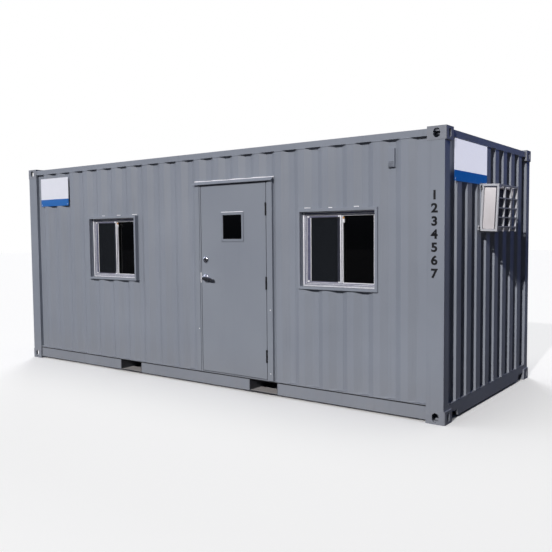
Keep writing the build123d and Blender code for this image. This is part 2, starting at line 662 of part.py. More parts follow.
# ---------------------------------------------------------------- door frame, threshold and drip cap
with BuildPart() as door_frame:
    block(JAMB_LEFT, JAMB_RIGHT, -TRIM_Y, -ROOM_Y, BASE_TOP, HEAD_TOP)
    strip_l = STRIP_LEFT - JAMB_STRIP
    strip_r = STRIP_RIGHT + JAMB_STRIP
    block(strip_l, strip_r, -TRIM_Y, -STRIP_Y, BASE_TOP, STRIP_TOP + JAMB_STRIP, Mode.SUBTRACT)
    block(STRIP_LEFT, STRIP_RIGHT, -STRIP_Y, -STOP_Y, BASE_TOP, STRIP_TOP, Mode.SUBTRACT)
    stop_l = STRIP_LEFT + STOP_WIDTH
    stop_r = STRIP_RIGHT - STOP_WIDTH
    block(stop_l, stop_r, -STOP_Y, -ROOM_Y, BASE_TOP, STRIP_TOP - STOP_WIDTH, Mode.SUBTRACT)
    block(JAMB_LEFT, JAMB_RIGHT, -BASE_INNER_Y, -ROOM_Y, BASE_TOP, FLOOR_TOP, Mode.SUBTRACT)
    for z in HINGE_ZS:
        z0 = z - HINGE_HEIGHT / 2
        y_in = -(STRIP_Y - HINGE_PLATE_DEPTH)
        block(STRIP_RIGHT, STRIP_RIGHT + HINGE_PLATE, -STRIP_Y, y_in, z0, z0 + HINGE_HEIGHT, Mode.SUBTRACT)
save(door_frame.part, "door_frame")

with BuildPart() as threshold:
    block(STRIP_LEFT, STRIP_RIGHT, -STRIP_Y, -STOP_Y, BASE_TOP, THRESHOLD_TOP)
    sill_top = LEAF_FOOT + STOP_WIDTH - LEAF_GAP
    block(stop_l, stop_r, -STOP_Y, -BASE_INNER_Y, BASE_TOP, sill_top)
    block(stop_l, stop_r, -BASE_INNER_Y, -ROOM_Y, FLOOR_TOP, sill_top)
save(threshold.part, "door_threshold")

with BuildPart() as drip_cap:
    cap_top = HEAD_TOP
    cap_foot = cap_top - CAP_HEIGHT
    cap_y = -TRIM_Y - CAP_REACH
    slope = (CAP_HEIGHT - CAP_LIP) / CAP_REACH
    inner_top = cap_top - CAP_SHEET * math.hypot(1, slope)
    lip_in = cap_y + CAP_SHEET
    lip_top = inner_top - slope * (CAP_REACH - CAP_SHEET)
    with BuildSketch(Plane.YZ.offset(JAMB_LEFT - CAP_OVERHANG)):
        with BuildLine():
            Polyline(
                (-TRIM_Y, cap_top), (cap_y, cap_foot + CAP_LIP), (cap_y, cap_foot),
                (lip_in, cap_foot), (lip_in, lip_top), (-TRIM_Y, inner_top), close=True,
            )
        make_face()
    extrude(amount=JAMB_RIGHT - JAMB_LEFT + 2 * CAP_OVERHANG)
save(drip_cap.part, "drip_cap")

# ---------------------------------------------------------------- door leaf
VISION_HOLE = VISION_SIZE + 2 * VISION_LINER
VISION_OUTER = VISION_SIZE + 2 * VISION_RIM


def rod(x, z, radius, y0, y1, mode=Mode.ADD):
    """A round bar, or a round hole, along Y between two depths."""
    with Locations(Location((x, (y0 + y1) / 2, z), (90, 0, 0))):
        Cylinder(radius, abs(y1 - y0), mode=mode)


with BuildPart() as leaf:
    block(LEAF_LEFT, LEAF_RIGHT, -STRIP_Y, -LEAF_BACK_Y, LEAF_FOOT, LEAF_TOP)
    half = VISION_HOLE / 2
    z_mid = VISION_Z
    block(DOOR_X - half, DOOR_X + half, -STRIP_Y, -LEAF_BACK_Y, z_mid - half, z_mid + half, Mode.SUBTRACT)
    rod(LEVER_X, LEVER_Z, LEVER_NECK_RADIUS + SPINDLE_CLEARANCE, -STRIP_Y, -LEAF_BACK_Y, Mode.SUBTRACT)
    for z in HINGE_ZS:
        z0 = z - HINGE_HEIGHT / 2
        y_in = -(STRIP_Y - HINGE_PLATE_DEPTH)
        block(LEAF_RIGHT - HINGE_PLATE, LEAF_RIGHT, -STRIP_Y, y_in, z0, z0 + HINGE_HEIGHT, Mode.SUBTRACT)
save(leaf.part, "door_leaf")

with BuildPart() as vision_frame:
    half = VISION_OUTER / 2
    hole = VISION_HOLE / 2
    pane = VISION_SIZE / 2
    for y0, y1 in ((-STRIP_Y - VISION_RIM_PROUD, -STRIP_Y), (-LEAF_BACK_Y, -LEAF_BACK_Y + VISION_RIM_PROUD)):
        block(DOOR_X - half, DOOR_X + half, y0, y1, z_mid - half, z_mid + half)
    block(DOOR_X - hole, DOOR_X + hole, -STRIP_Y, -LEAF_BACK_Y, z_mid - hole, z_mid + hole)
    block(DOOR_X - pane, DOOR_X + pane, -SIDE_Y - HEIGHT, 0, z_mid - pane, z_mid + pane, Mode.SUBTRACT)
save(vision_frame.part, "vision_frame")

with BuildPart() as vision_glass:
    y_pane = -STRIP_Y + VISION_SETBACK
    block(DOOR_X - pane, DOOR_X + pane, y_pane, y_pane + PANE, z_mid - pane, z_mid + pane)
save(vision_glass.part, "vision_glass")


# ---------------------------------------------------------------- hinges
def knuckle(radius, z0, z1, mode=Mode.ADD):
    """A round bar or hole along the hinge axis between two heights."""
    with Locations((HINGE_X, -HINGE_Y, (z0 + z1) / 2)):
        Cylinder(radius, z1 - z0, mode=mode)


third = HINGE_HEIGHT / 3
plate_in = -(STRIP_Y - HINGE_PLATE_DEPTH)

with BuildPart() as hinge_frame:
    for z in HINGE_ZS:
        z0 = z - HINGE_HEIGHT / 2
        z1 = z0 + HINGE_HEIGHT
        block(STRIP_RIGHT, STRIP_RIGHT + HINGE_PLATE, -STRIP_Y, plate_in, z0, z1)
        for k0, k1 in ((z0, z0 + third), (z1 - third, z1)):
            knuckle(KNUCKLE_RADIUS, k0, k1)
            block(STRIP_RIGHT, STRIP_RIGHT + HINGE_PLATE, -HINGE_Y, -STRIP_Y, k0, k1)
        knuckle(PIN_RADIUS, z0, z1)
save(hinge_frame.part, "hinge_frame_leaves")

with BuildPart() as hinge_door:
    for z in HINGE_ZS:
        z0 = z - HINGE_HEIGHT / 2
        k0 = z0 + third + KNUCKLE_GAP
        k1 = z0 + 2 * third - KNUCKLE_GAP
        block(LEAF_RIGHT - HINGE_PLATE, LEAF_RIGHT, -STRIP_Y, plate_in, z0, z0 + HINGE_HEIGHT)
        knuckle(KNUCKLE_RADIUS, k0, k1)
        block(LEAF_RIGHT - HINGE_PLATE, LEAF_RIGHT, -HINGE_Y, -STRIP_Y, k0, k1)
        knuckle(PIN_RADIUS + PIN_CLEARANCE, k0, k1, Mode.SUBTRACT)
save(hinge_door.part, "hinge_door_leaves")

# ---------------------------------------------------------------- lock
with BuildPart() as lock_trim:
    for y0, y1 in ((-STRIP_Y - ROSE_THICKNESS, -STRIP_Y), (-LEAF_BACK_Y, -LEAF_BACK_Y + ROSE_THICKNESS)):
        rod(LEVER_X, LEVER_Z, ROSE_RADIUS, y0, y1)
        rod(LEVER_X, LEVER_Z, LEVER_NECK_RADIUS + SPINDLE_CLEARANCE, y0, y1, Mode.SUBTRACT)
    rod(LEVER_X, DEADBOLT_Z, DEADBOLT_RADIUS, -STRIP_Y - DEADBOLT_THICKNESS, -STRIP_Y)
    rod(LEVER_X, DEADBOLT_Z, DEADBOLT_RADIUS, -LEAF_BACK_Y, -LEAF_BACK_Y + DEADBOLT_THICKNESS)
save(lock_trim.part, "lock_trim")

with BuildPart() as levers:
    y_out = -STRIP_Y - LEVER_REACH
    y_in = -LEAF_BACK_Y + LEVER_REACH
    rod(LEVER_X, LEVER_Z, LEVER_NECK_RADIUS, y_out, y_in)
    for y in (y_out, y_in):
        with BuildSketch(Plane.XZ.offset(-y)):
            with Locations((LEVER_X + LEVER_LENGTH / 2 - LEVER_BAR / 2, LEVER_Z)):
                SlotOverall(LEVER_LENGTH, LEVER_BAR)
        extrude(amount=LEVER_BAR / 2, both=True)
save(levers.part, "lever_handles")


# ---------------------------------------------------------------- air conditioner and cage
cooler_frame, cooler_across = cooler_plane()


def leaning_block(x0, x1, y0, y1, z0, z1, mode=Mode.ADD):
    """A box in the leaning frame: x out of the wall, y across, z up the unit."""
    spot = cooler_frame.location * Location(((x0 + x1) / 2, (y0 + y1) / 2, (z0 + z1) / 2))
    with Locations(spot):
        Box(abs(x1 - x0), abs(y1 - y0), abs(z1 - z0), mode=mode)


with BuildPart() as cooler:
    half = COOLER_WIDTH / 2
    back = COOLER_REACH - COOLER_DEPTH
    leaning_block(back, COOLER_REACH, -half, half, COOLER_FOOT, COOLER_FOOT + COOLER_HEIGHT)
save(cooler.part, "air_conditioner")

with BuildPart() as cage:
    half = CAGE_WIDTH / 2
    bar = CAGE_BAR
    back = -CAGE_DEPTH / 4
    front = CAGE_DEPTH - bar
    for y0 in (-half, half - bar):
        for z0 in (0, CAGE_HEIGHT - bar):
            leaning_block(back, CAGE_DEPTH, y0, y0 + bar, z0, z0 + bar)
        leaning_block(0, bar, y0, y0 + bar, 0, CAGE_HEIGHT)
    step = (CAGE_WIDTH - bar) / 3
    for i in range(4):
        y0 = -half + i * step
        leaning_block(front, CAGE_DEPTH, y0, y0 + bar, 0, CAGE_HEIGHT)
    for share in CAGE_RUNGS:
        z0 = share * CAGE_HEIGHT
        leaning_block(front, CAGE_DEPTH, -half, half, z0, z0 + bar / 2)
    leaning_block(front, CAGE_DEPTH, -half, half, CAGE_HEIGHT - bar, CAGE_HEIGHT)
    for x0 in (front / 3, front * 2 / 3):
        leaning_block(x0, x0 + bar, -half, half, 0, bar)
    block(0, CREST_X, -SIDE_Y, SIDE_Y, 0, HEIGHT, Mode.SUBTRACT)
save(cage.part, "air_conditioner_cage")

# ---------------------------------------------------------------- wall vent
with BuildPart() as vent:
    vent_top = TOP_RAIL_FOOT - VENT_DROP
    x_mid = side_crests()[-1] - SIDE_PITCH / 2
    y_wall = -(CREST_Y - SIDE_DEPTH)
    y_face = y_wall - VENT_DEPTH
    x0 = x_mid - VENT_WIDTH / 2
    x1 = x_mid + VENT_WIDTH / 2
    z0 = vent_top - VENT_HEIGHT
    block(x0, x1, y_face, y_wall, z0, vent_top)
    w = VENT_WALL
    block(x0 + w, x1 - w, y_face + w, y_wall, z0, vent_top - w, Mode.SUBTRACT)
save(vent.part, "wall_vent")
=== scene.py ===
# %% [markdown]
# A freight container turned into a site cabin. The steel box, the door and the windows come ready made,
# each piece in its place, in metres. This lesson dresses them: every piece gets the finish of the
# real one, and the small things that a working drawing leaves out are modelled and put in place.

# %% Load the steelwork
import bpy
import math
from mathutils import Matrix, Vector


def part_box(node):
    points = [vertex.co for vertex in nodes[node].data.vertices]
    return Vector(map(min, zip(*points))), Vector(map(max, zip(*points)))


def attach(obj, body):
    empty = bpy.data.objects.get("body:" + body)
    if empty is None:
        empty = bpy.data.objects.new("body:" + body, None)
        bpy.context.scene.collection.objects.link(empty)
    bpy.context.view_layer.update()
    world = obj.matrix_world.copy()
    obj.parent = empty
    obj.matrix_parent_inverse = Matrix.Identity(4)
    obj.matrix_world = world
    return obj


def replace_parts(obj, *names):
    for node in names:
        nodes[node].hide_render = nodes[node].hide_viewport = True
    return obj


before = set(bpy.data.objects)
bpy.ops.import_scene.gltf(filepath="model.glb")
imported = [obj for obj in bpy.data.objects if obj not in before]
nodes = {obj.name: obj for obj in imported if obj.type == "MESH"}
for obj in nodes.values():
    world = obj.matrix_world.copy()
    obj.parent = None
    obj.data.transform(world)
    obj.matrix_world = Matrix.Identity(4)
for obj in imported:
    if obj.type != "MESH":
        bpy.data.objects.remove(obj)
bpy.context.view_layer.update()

print("pieces from the drawing:", len(nodes))

# %% [markdown]
# Colours are written as on a paint card, in sRGB hex, and turned to the linear values that a shader
# wants. One small function adds a shader node with its settings and links. A link may be a number, a card
# colour, a socket, or a node, which then gives its first open output. So a finish reads from top to bottom.

# %% Helpers for finishes
def linear(card):
    """A paint card colour such as #85898F as a linear RGBA value."""
    values = [int(card[i:i + 2], 16) / 255 for i in (1, 3, 5)]
    return [v / 12.92 if v <= 0.04045 else ((v + 0.055) / 1.055) ** 2.4 for v in values] + [1.0]


def adder(tree):
    """The function that adds nodes to this tree."""
    def add(kind, links=None, **settings):
        """Add one shader node, or take one that is there, with its settings and links."""
        node = tree.nodes.new("ShaderNode" + kind) if isinstance(kind, str) else kind
        for name, value in settings.items():
            setattr(node, name, value)
        for socket, value in (links or {}).items():
            if isinstance(value, bpy.types.Node):
                value = next(output for output in value.outputs if output.enabled)
            if isinstance(value, bpy.types.NodeSocket):
                tree.links.new(value, node.inputs[socket])
            else:
                node.inputs[socket].default_value = linear(value) if isinstance(value, str) else value
        return node
    return add


def new_finish(name, constants):
    """A material, its adder, its shader with the constants set, and the piece's coordinates in metres."""
    finish = bpy.data.materials.new(name)
    finish.use_nodes = True
    add = adder(finish.node_tree)
    shader = add(finish.node_tree.nodes["Principled BSDF"], constants)
    return finish, add, shader, add("TexCoord").outputs["Object"]


print("helpers ready")

# %% [markdown]
# The container is sprayed with one grey enamel over zinc primer. On a wide sheet the enamel is not one flat
# grey: it has chalked unevenly, rain has drawn faint streaks down from the top rail, and road dust sits near
# the ground. A large soft noise gives the chalking, a noise stretched along z gives the streaks, and the height
# above the ground gives the dust. A fine bump is the orange peel of the spray, and a slow one is the
# panting of the thin sheet between its ribs.

# %% The grey container enamel
def enamel(name, fresh, chalked, streak, roughness=0.45, streaks=0.30, panting=0.0, sheen=0.40):
    """Sprayed enamel on steel: satin, with chalking, rain streaks and dust near the ground."""
    constants = {"Base Color": fresh, "Roughness": roughness, "Specular IOR Level": sheen}
    finish, add, shader, place = new_finish(name, constants)
    chalk = add("TexNoise", {"Vector": place, "Scale": 1 / 0.9, "Detail": 4.0})
    chalk = add("MapRange", {"Value": chalk, "From Min": 0.35, "From Max": 0.68})
    paint = add("Mix", {0: chalk, 6: fresh, 7: chalked}, data_type="RGBA")
    # Streaks are about 70 mm wide and over a metre long.
    tall = add("Mapping", {"Vector": place, "Scale": (1.0, 1.0, 0.06)})
    rain = add("TexNoise", {"Vector": tall, "Scale": 1 / 0.07, "Detail": 4.0, "Roughness": 0.6})
    rain = add("MapRange", {"Value": rain, "From Min": 0.55, "From Max": 0.85, "To Max": streaks})
    paint = add("Mix", {0: rain, 6: paint, 7: streak}, data_type="RGBA")
    # Splashed dust reaches half a metre up, in patches about 120 mm across.
    height = add("SeparateXYZ", {"Vector": place})
    low = add("MapRange", {"Value": height.outputs["Z"], "From Min": 0.50, "From Max": 0.02, "To Max": 0.30})
    patch = add("TexNoise", {"Vector": place, "Scale": 1 / 0.12, "Detail": 5.0})
    dust = add("Math", {0: low, 1: patch}, operation="MULTIPLY")
    paint = add("Mix", {0: dust, 6: paint, 7: "#8E8880"}, data_type="RGBA")
    gloss = add("TexNoise", {"Vector": place, "Scale": 1 / 0.35, "Detail": 3.0})
    gloss = add("MapRange", {"Value": gloss, "From Min": 0.3, "From Max": 0.7,
                                             "To Min": roughness - 0.05, "To Max": roughness + 0.08})
    # Orange peel is drawn 9 mm across, coarser than real so that it shows.
    peel = add("TexNoise", {"Vector": place, "Scale": 1 / 0.009, "Detail": 2.0})
    slow = add("TexNoise", {"Vector": place, "Scale": 1 / 0.45, "Detail": 1.0})
    slow = add("Math", {0: slow, 1: panting}, operation="MULTIPLY")
    skin = add("Math", {0: peel, 1: 0.04, 2: slow}, operation="MULTIPLY_ADD")
    bump = add("Bump", {"Height": skin, "Distance": 0.004, "Strength": 1.0})
    add(shader, {"Base Color": paint, "Roughness": gloss, "Normal": bump})
    return finish


cladding_enamel = enamel("cladding_enamel", "#848A95", "#8A909B", "#6A6E77", panting=1.0)
frame_enamel = enamel("frame_enamel", "#838994", "#898F9A", "#666A73", panting=0.3)
fitting_enamel = enamel("fitting_enamel", "#858B96", "#8C929D", "#70747D", roughness=0.40, streaks=0.2, sheen=0.15)
door_enamel = enamel("door_enamel", "#848A95", "#898F99", "#757982", roughness=0.38, streaks=0.12, panting=0.25)
print("enamels:", cladding_enamel.name, frame_enamel.name, fitting_enamel.name, door_enamel.name)

# %% [markdown]
# The corner castings are cast steel, and lifting gear knocks them about. The same grey enamel covers a
# sand-cast skin, so they get a coarser bump, and the enamel is chipped to brown rust in spots a few
# centimetres across. The chips come from a noise cut off sharply, which leaves islands with ragged edges.
# The same build serves for the underseal below the floor and for the welded cage.

# %% Cast steel with chipped enamel
def chipped_enamel(name, colour, worn, rust, cut, grain, dust=0.0):
    """Enamel over cast or rubbed steel, with chips that show rust, and a pale tone on what faces up: dust, and on the
    pocket floors also painted sunlight.
    """
    finish, add, shader, place = new_finish(name,
                                            {"Base Color": colour, "Roughness": 0.5, "Specular IOR Level": 0.35})
    mottle = add("TexNoise", {"Vector": place, "Scale": 1 / 0.08, "Detail": 5.0})
    mottle = add("MapRange", {"Value": mottle, "From Min": 0.3, "From Max": 0.7})
    paint = add("Mix", {0: mottle, 6: colour, 7: worn}, data_type="RGBA")
    # Chips are islands up to 35 mm across; a higher cut leaves fewer.
    ragged = add("TexNoise", {"Vector": place, "Scale": 1 / 0.035, "Detail": 8.0, "Roughness": 0.65})
    chips = add("MapRange", {"Value": ragged, "From Min": cut, "From Max": cut + 0.02})
    paint = add("Mix", {0: chips, 6: paint, 7: rust}, data_type="RGBA")
    facing = add("NewGeometry").outputs["Normal"]
    up = add("SeparateXYZ", {"Vector": facing}).outputs["Z"]
    upward_dust_and_light = add("MapRange", {"Value": up, "From Min": 0.6, "From Max": 0.9, "To Max": dust})
    paint = add("Mix", {0: upward_dust_and_light, 6: paint, 7: "#B8B5B4"}, data_type="RGBA")
    dull = add("MapRange", {"Value": chips, "To Min": 0.48, "To Max": 0.85})
    sand = add("TexNoise", {"Vector": place, "Scale": 1 / grain, "Detail": 4.0, "Roughness": 0.6})
    drop = add("Math", {0: sand, 1: chips}, operation="SUBTRACT")
    bump = add("Bump", {"Height": drop, "Distance": 0.0008, "Strength": 0.6})
    add(shader, {"Base Color": paint, "Roughness": dull, "Normal": bump})
    return finish


casting_enamel = chipped_enamel("casting_enamel", "#7E828B", "#8A8E97", "#5A4436", 0.665, 0.006)
bitumen = chipped_enamel("underseal_bitumen", "#1B1B1D", "#2A2A2B", "#3B2E26", 0.68, 0.004)
cage_enamel = chipped_enamel("cage_enamel", "#C0C2C8", "#B4B6BC", "#6E5A4C", 0.70, 0.003)
# Inside the pockets the dark grey is painted shade, and the strong pale tone on their upward faces is partly painted
# sunlight.
pocket_painted_shade_and_light = chipped_enamel("pocket_painted_shade_and_light", "#3C3E44", "#4E5056", "#40342D", 0.62, 0.005, dust=0.9)
print("chipped finishes ready")

# %% [markdown]
# The floor is marine plywood on edge-sealed boards, and the lining is white-faced board. Both show only
# through the glass or an open door, yet they carry the light inside, so they get their own grain and joints.

# %% Plywood and lining board
def marine_plywood():
    """Marine plywood: reddish brown, long grain along x, boards 1.2 m wide with dark joints."""
    finish, add, shader, place = new_finish("marine_plywood", {"Base Color": "#7A5C3F", "Roughness": 0.55})
    long = add("Mapping", {"Vector": place, "Scale": (0.06, 1.0, 1.0)})
    grain = add("TexNoise", {"Vector": long, "Scale": 1 / 0.006, "Detail": 6.0, "Roughness": 0.6})
    light = add("MapRange", {"Value": grain, "From Min": 0.35, "From Max": 0.65})
    wood = add("Mix", {0: light, 6: "#6B4E34", 7: "#8C6C4A"}, data_type="RGBA")
    along = add("SeparateXYZ", {"Vector": place}).outputs["X"]
    board = add("Math", {0: along, 1: 1.2}, operation="PINGPONG")
    joint = add("MapRange", {"Value": board, "From Min": 0.004, "From Max": 0.0})
    wood = add("Mix", {0: joint, 6: wood, 7: "#2A1F16"}, data_type="RGBA")
    bump = add("Bump", {"Height": grain, "Distance": 0.0003, "Strength": 0.5})
    add(shader, {"Base Color": wood, "Normal": bump})
    return finish


def faced_board():
    """White-faced lining board: eggshell, faint roller texture, boards 1.2 m wide with cover strips."""
    finish, add, shader, place = new_finish("faced_board", {"Base Color": "#CFCCC2", "Roughness": 0.6})
    tint = add("TexNoise", {"Vector": place, "Scale": 1 / 0.6, "Detail": 3.0})
    face = add("Mix", {0: tint, 6: "#CFCCC2", 7: "#C4C0B4"}, data_type="RGBA")
    along = add("SeparateXYZ", {"Vector": place}).outputs["X"]
    board = add("Math", {0: along, 1: 1.2}, operation="PINGPONG")
    strip = add("MapRange", {"Value": board, "From Min": 0.012, "From Max": 0.010})
    face = add("Mix", {0: strip, 6: face, 7: "#A8A498"}, data_type="RGBA")
    roller = add("TexNoise", {"Vector": place, "Scale": 1 / 0.004, "Detail": 2.0})
    bump = add("Bump", {"Height": roller, "Distance": 0.0003, "Strength": 0.4})
    add(shader, {"Base Color": face, "Normal": bump})
    return finish


floor_plywood = marine_plywood()
lining_board = faced_board()
print("inside finishes ready")

# %% [markdown]
# The window frames are extruded aluminium with a mill finish. The die leaves fine lines along each bar, which
# spread the highlight across it. The metal has dulled, so it is rougher than polished metal. It is drawn as two
# copies: a lavender grey one whose tint is a painted sky reflection, and a near-white one that is a painted
# highlight for the lips and beads facing the sun. The door's lock is satin chrome plate, its hinges are oiled steel.

# %% Bare and plated metals
def bare_metal(name, colour, dulled, low_roughness, high_roughness, metallic, blotch, line):
    """Metal that has dulled in blotches, with fine drawn or ground lines that widen the highlight."""
    finish, add, shader, place = new_finish(name,
                                            {"Base Color": colour, "Roughness": low_roughness, "Metallic": metallic})
    dull = add("TexNoise", {"Vector": place, "Scale": 1 / blotch, "Detail": 4.0})
    dull = add("MapRange", {"Value": dull, "From Min": 0.35, "From Max": 0.7})
    metal = add("Mix", {0: dull, 6: colour, 7: dulled}, data_type="RGBA")
    drawn = add("Mapping", {"Vector": place, "Scale": (1.0, 1.0, 0.03)})
    lines = add("TexNoise", {"Vector": drawn, "Scale": 1 / line, "Detail": 3.0})
    gloss = add("MapRange", {"Value": lines, "From Min": 0.3, "From Max": 0.7,
                                             "To Min": low_roughness, "To Max": high_roughness})
    bump = add("Bump", {"Height": lines, "Distance": 0.0002, "Strength": 0.3})
    add(shader, {"Base Color": metal, "Roughness": gloss, "Normal": bump})
    return finish


# Die lines on extruded aluminium are drawn 2 mm apart, coarser than real so that they show.
# The first is tinted lavender as a painted sky reflection; the second is near white as a painted highlight.
sky_tinted_aluminium = bare_metal("sky_tinted_aluminium", "#7E7F98", "#6A6B84", 0.36, 0.52, 0.5, 0.05, 0.002)
highlight_aluminium = bare_metal("highlight_aluminium", "#F7F8FB", "#ECEDF3", 0.28, 0.42, 0.1, 0.02, 0.002)
satin_chrome = bare_metal("satin_chrome", "#D4D6DC", "#BDBFC6", 0.10, 0.24, 1.0, 0.02, 0.004)
hinge_steel = bare_metal("oiled_hinge_steel", "#2A2B2F", "#1F2023", 0.38, 0.55, 0.6, 0.012, 0.003)
print("metals ready")

# %% [markdown]
# The panes are dark tinted glass. From outside such glass reads nearly black, with the sky in it, because little
# light comes back out of the room. A tinted transmission colour does that in a physical way: light is
# dimmed on its way in and again on its way out.

# %% Tinted glass
def tinted_float_glass():
    """Grey tinted float glass, 5 mm: clear, smooth and dark, with faint water marks in its gloss."""
    constants = {"Base Color": "#0F1013", "Roughness": 0.03, "IOR": 1.45, "Transmission Weight": 0.85}
    finish, add, shader, place = new_finish("tinted_glass", constants)
    tall = add("Mapping", {"Vector": place, "Scale": (1.0, 1.0, 0.3)})
    marks = add("TexNoise", {"Vector": tall, "Scale": 1 / 0.05, "Detail": 5.0})
    marks = add("MapRange", {"Value": marks, "From Min": 0.55, "From Max": 0.8, "To Min": 0.02, "To Max": 0.10})
    add(shader, {"Roughness": marks})
    return finish


tinted_glass = tinted_float_glass()
print("glass ready")

# %% [markdown]
# The air conditioner has a baked enamel casing, whiter than the container, and a coil of thin black coated
# fins behind its outdoor face. The coil's near black is partly its coating and partly painted shade, and its
# lighter fin edges and darker gaps are painted highlight and shade. Rubber, sealant and nylon are all moulded
# or pressed soft and then set, so one build serves for them: a mottled gloss and a fine skin. The insect screen
# lets half the light through.

# %% Casing enamel, coil fins, soft materials and screen
def casing_enamel():
    """Baked enamel on thin steel: off-white, low gloss, a little streaked below the joints."""
    finish, add, shader, place = new_finish("casing_enamel", {"Base Color": "#DCD8DA", "Roughness": 0.4})
    tall = add("Mapping", {"Vector": place, "Scale": (1.0, 1.0, 0.12)})
    rain = add("TexNoise", {"Vector": tall, "Scale": 1 / 0.03, "Detail": 4.0})
    rain = add("MapRange", {"Value": rain, "From Min": 0.5, "From Max": 0.8, "To Max": 0.25})
    paint = add("Mix", {0: rain, 6: "#D0CCCF", 7: "#BAB6B2"}, data_type="RGBA")
    peel = add("TexNoise", {"Vector": place, "Scale": 1 / 0.006, "Detail": 2.0})
    bump = add("Bump", {"Height": peel, "Distance": 0.0003, "Strength": 0.3})
    add(shader, {"Base Color": paint, "Normal": bump})
    return finish


def coil_fins_painted_shade():
    """Dark coated aluminium fins on edge, drawn 7 mm apart, coarser than real so that they show. Its near black is
    partly painted shade; its lighter edges and darker gaps are painted highlight and shade.
    """
    constants = {"Base Color": "#0C0D0F", "Roughness": 0.6, "Specular IOR Level": 0.2}
    finish, add, shader, place = new_finish("coil_fins_painted_shade", constants)
    across = add("SeparateXYZ", {"Vector": place}).outputs["Y"]
    blade = add("Math", {0: across, 1: 0.0035}, operation="PINGPONG")
    ridge = add("MapRange", {"Value": blade, "From Max": 0.0035})
    black = add("Mix", {0: ridge, 6: "#16171A", 7: "#484A50"}, data_type="RGBA")
    bump = add("Bump", {"Height": ridge, "Distance": 0.003, "Strength": 0.8})
    add(shader, {"Base Color": black, "Normal": bump})
    return finish


def moulded(name, colour, roughness, skin):
    """Rubber, sealant or nylon: a mottled gloss, and a fine skin of this grain in metres."""
    finish, add, shader, place = new_finish(name, {"Base Color": colour, "Roughness": roughness})
    mottle = add("TexNoise", {"Vector": place, "Scale": 1 / 0.02, "Detail": 4.0})
    gloss = add("MapRange", {"Value": mottle, "From Min": 0.3, "From Max": 0.7,
                                             "To Min": roughness - 0.07, "To Max": roughness + 0.07})
    grain = add("TexNoise", {"Vector": place, "Scale": 1 / skin, "Detail": 3.0})
    bump = add("Bump", {"Height": grain, "Distance": 0.0002, "Strength": 0.4})
    add(shader, {"Roughness": gloss, "Normal": bump})
    return finish


def woven_screen():
    """Black glass-fibre mesh, drawn as a 4 mm weave: half open, so the pane behind it looks dim and grey."""
    constants = {"Base Color": "#24272C", "Roughness": 0.8, "Alpha": 0.38, "Specular IOR Level": 0.1}
    finish, add, shader, place = new_finish("insect_screen", constants)
    weave = add("TexNoise", {"Vector": place, "Scale": 1 / 0.004, "Detail": 2.0})
    thread = add("Mix", {0: weave, 6: "#1E2126", 7: "#292D33"}, data_type="RGBA")
    add(shader, {"Base Color": thread})
    return finish


cooler_enamel = casing_enamel()
shaded_fin_stack = coil_fins_painted_shade()
seal_rubber = moulded("seal_rubber", "#111113", 0.75, 0.002)
pale_sealant_and_highlight = moulded("pale_sealant_and_highlight", "#F0F0F4", 0.5, 0.004)
white_nylon = moulded("white_nylon", "#E8E8EC", 0.4, 0.0015)
amber_nylon = moulded("amber_nylon", "#C98A2B", 0.35, 0.0015)
insect_screen = woven_screen()
vent_shade_grille = moulded("vent_grille_painted_shade", "#62656D", 0.7, 0.003)
print("cooler, soft materials and screen ready")

# %% [markdown]
# The signs are printed sheet: a hard white face with a blue band along the foot. The one on the shaded end
# gets a little emission, a painted glow, so it looks brighter than the light that falls on it. The number on the
# post is black vinyl.

# %% Sign faces and vinyl
def printed_sheet(name, colour, faded, glow=0.0):
    """Printed and laminated face: slightly faded in clouds, low gloss, and an optional painted glow as emission."""
    constants = {"Base Color": colour, "Roughness": 0.35, "Emission Color": colour, "Emission Strength": glow}
    finish, add, shader, place = new_finish(name, constants)
    fade = add("TexNoise", {"Vector": place, "Scale": 1 / 0.15, "Detail": 4.0})
    ink = add("Mix", {0: fade, 6: colour, 7: faded}, data_type="RGBA")
    gloss = add("TexNoise", {"Vector": place, "Scale": 1 / 0.04, "Detail": 3.0})
    gloss = add("MapRange", {"Value": gloss, "From Min": 0.3, "From Max": 0.7, "To Min": 0.28, "To Max": 0.46})
    add(shader, {"Base Color": ink, "Roughness": gloss})
    return finish


sign_white = printed_sheet("sign_white", "#E9ECF6", "#DDE0EA")
sign_blue = printed_sheet("sign_blue", "#1560AC", "#1B66B2")
glowing_sign_white = printed_sheet("glowing_sign_white", "#DEDFEA", "#D2D3DE", 0.70)
glowing_sign_blue = printed_sheet("glowing_sign_blue", "#0C5096", "#0F549A", 0.45)
black_vinyl = printed_sheet("black_vinyl", "#101013", "#1A1A1E")
print("sign finishes ready")

# %% [markdown]
# Every piece from the drawing now gets its finish through its own material slots. Its mesh stays as it is.

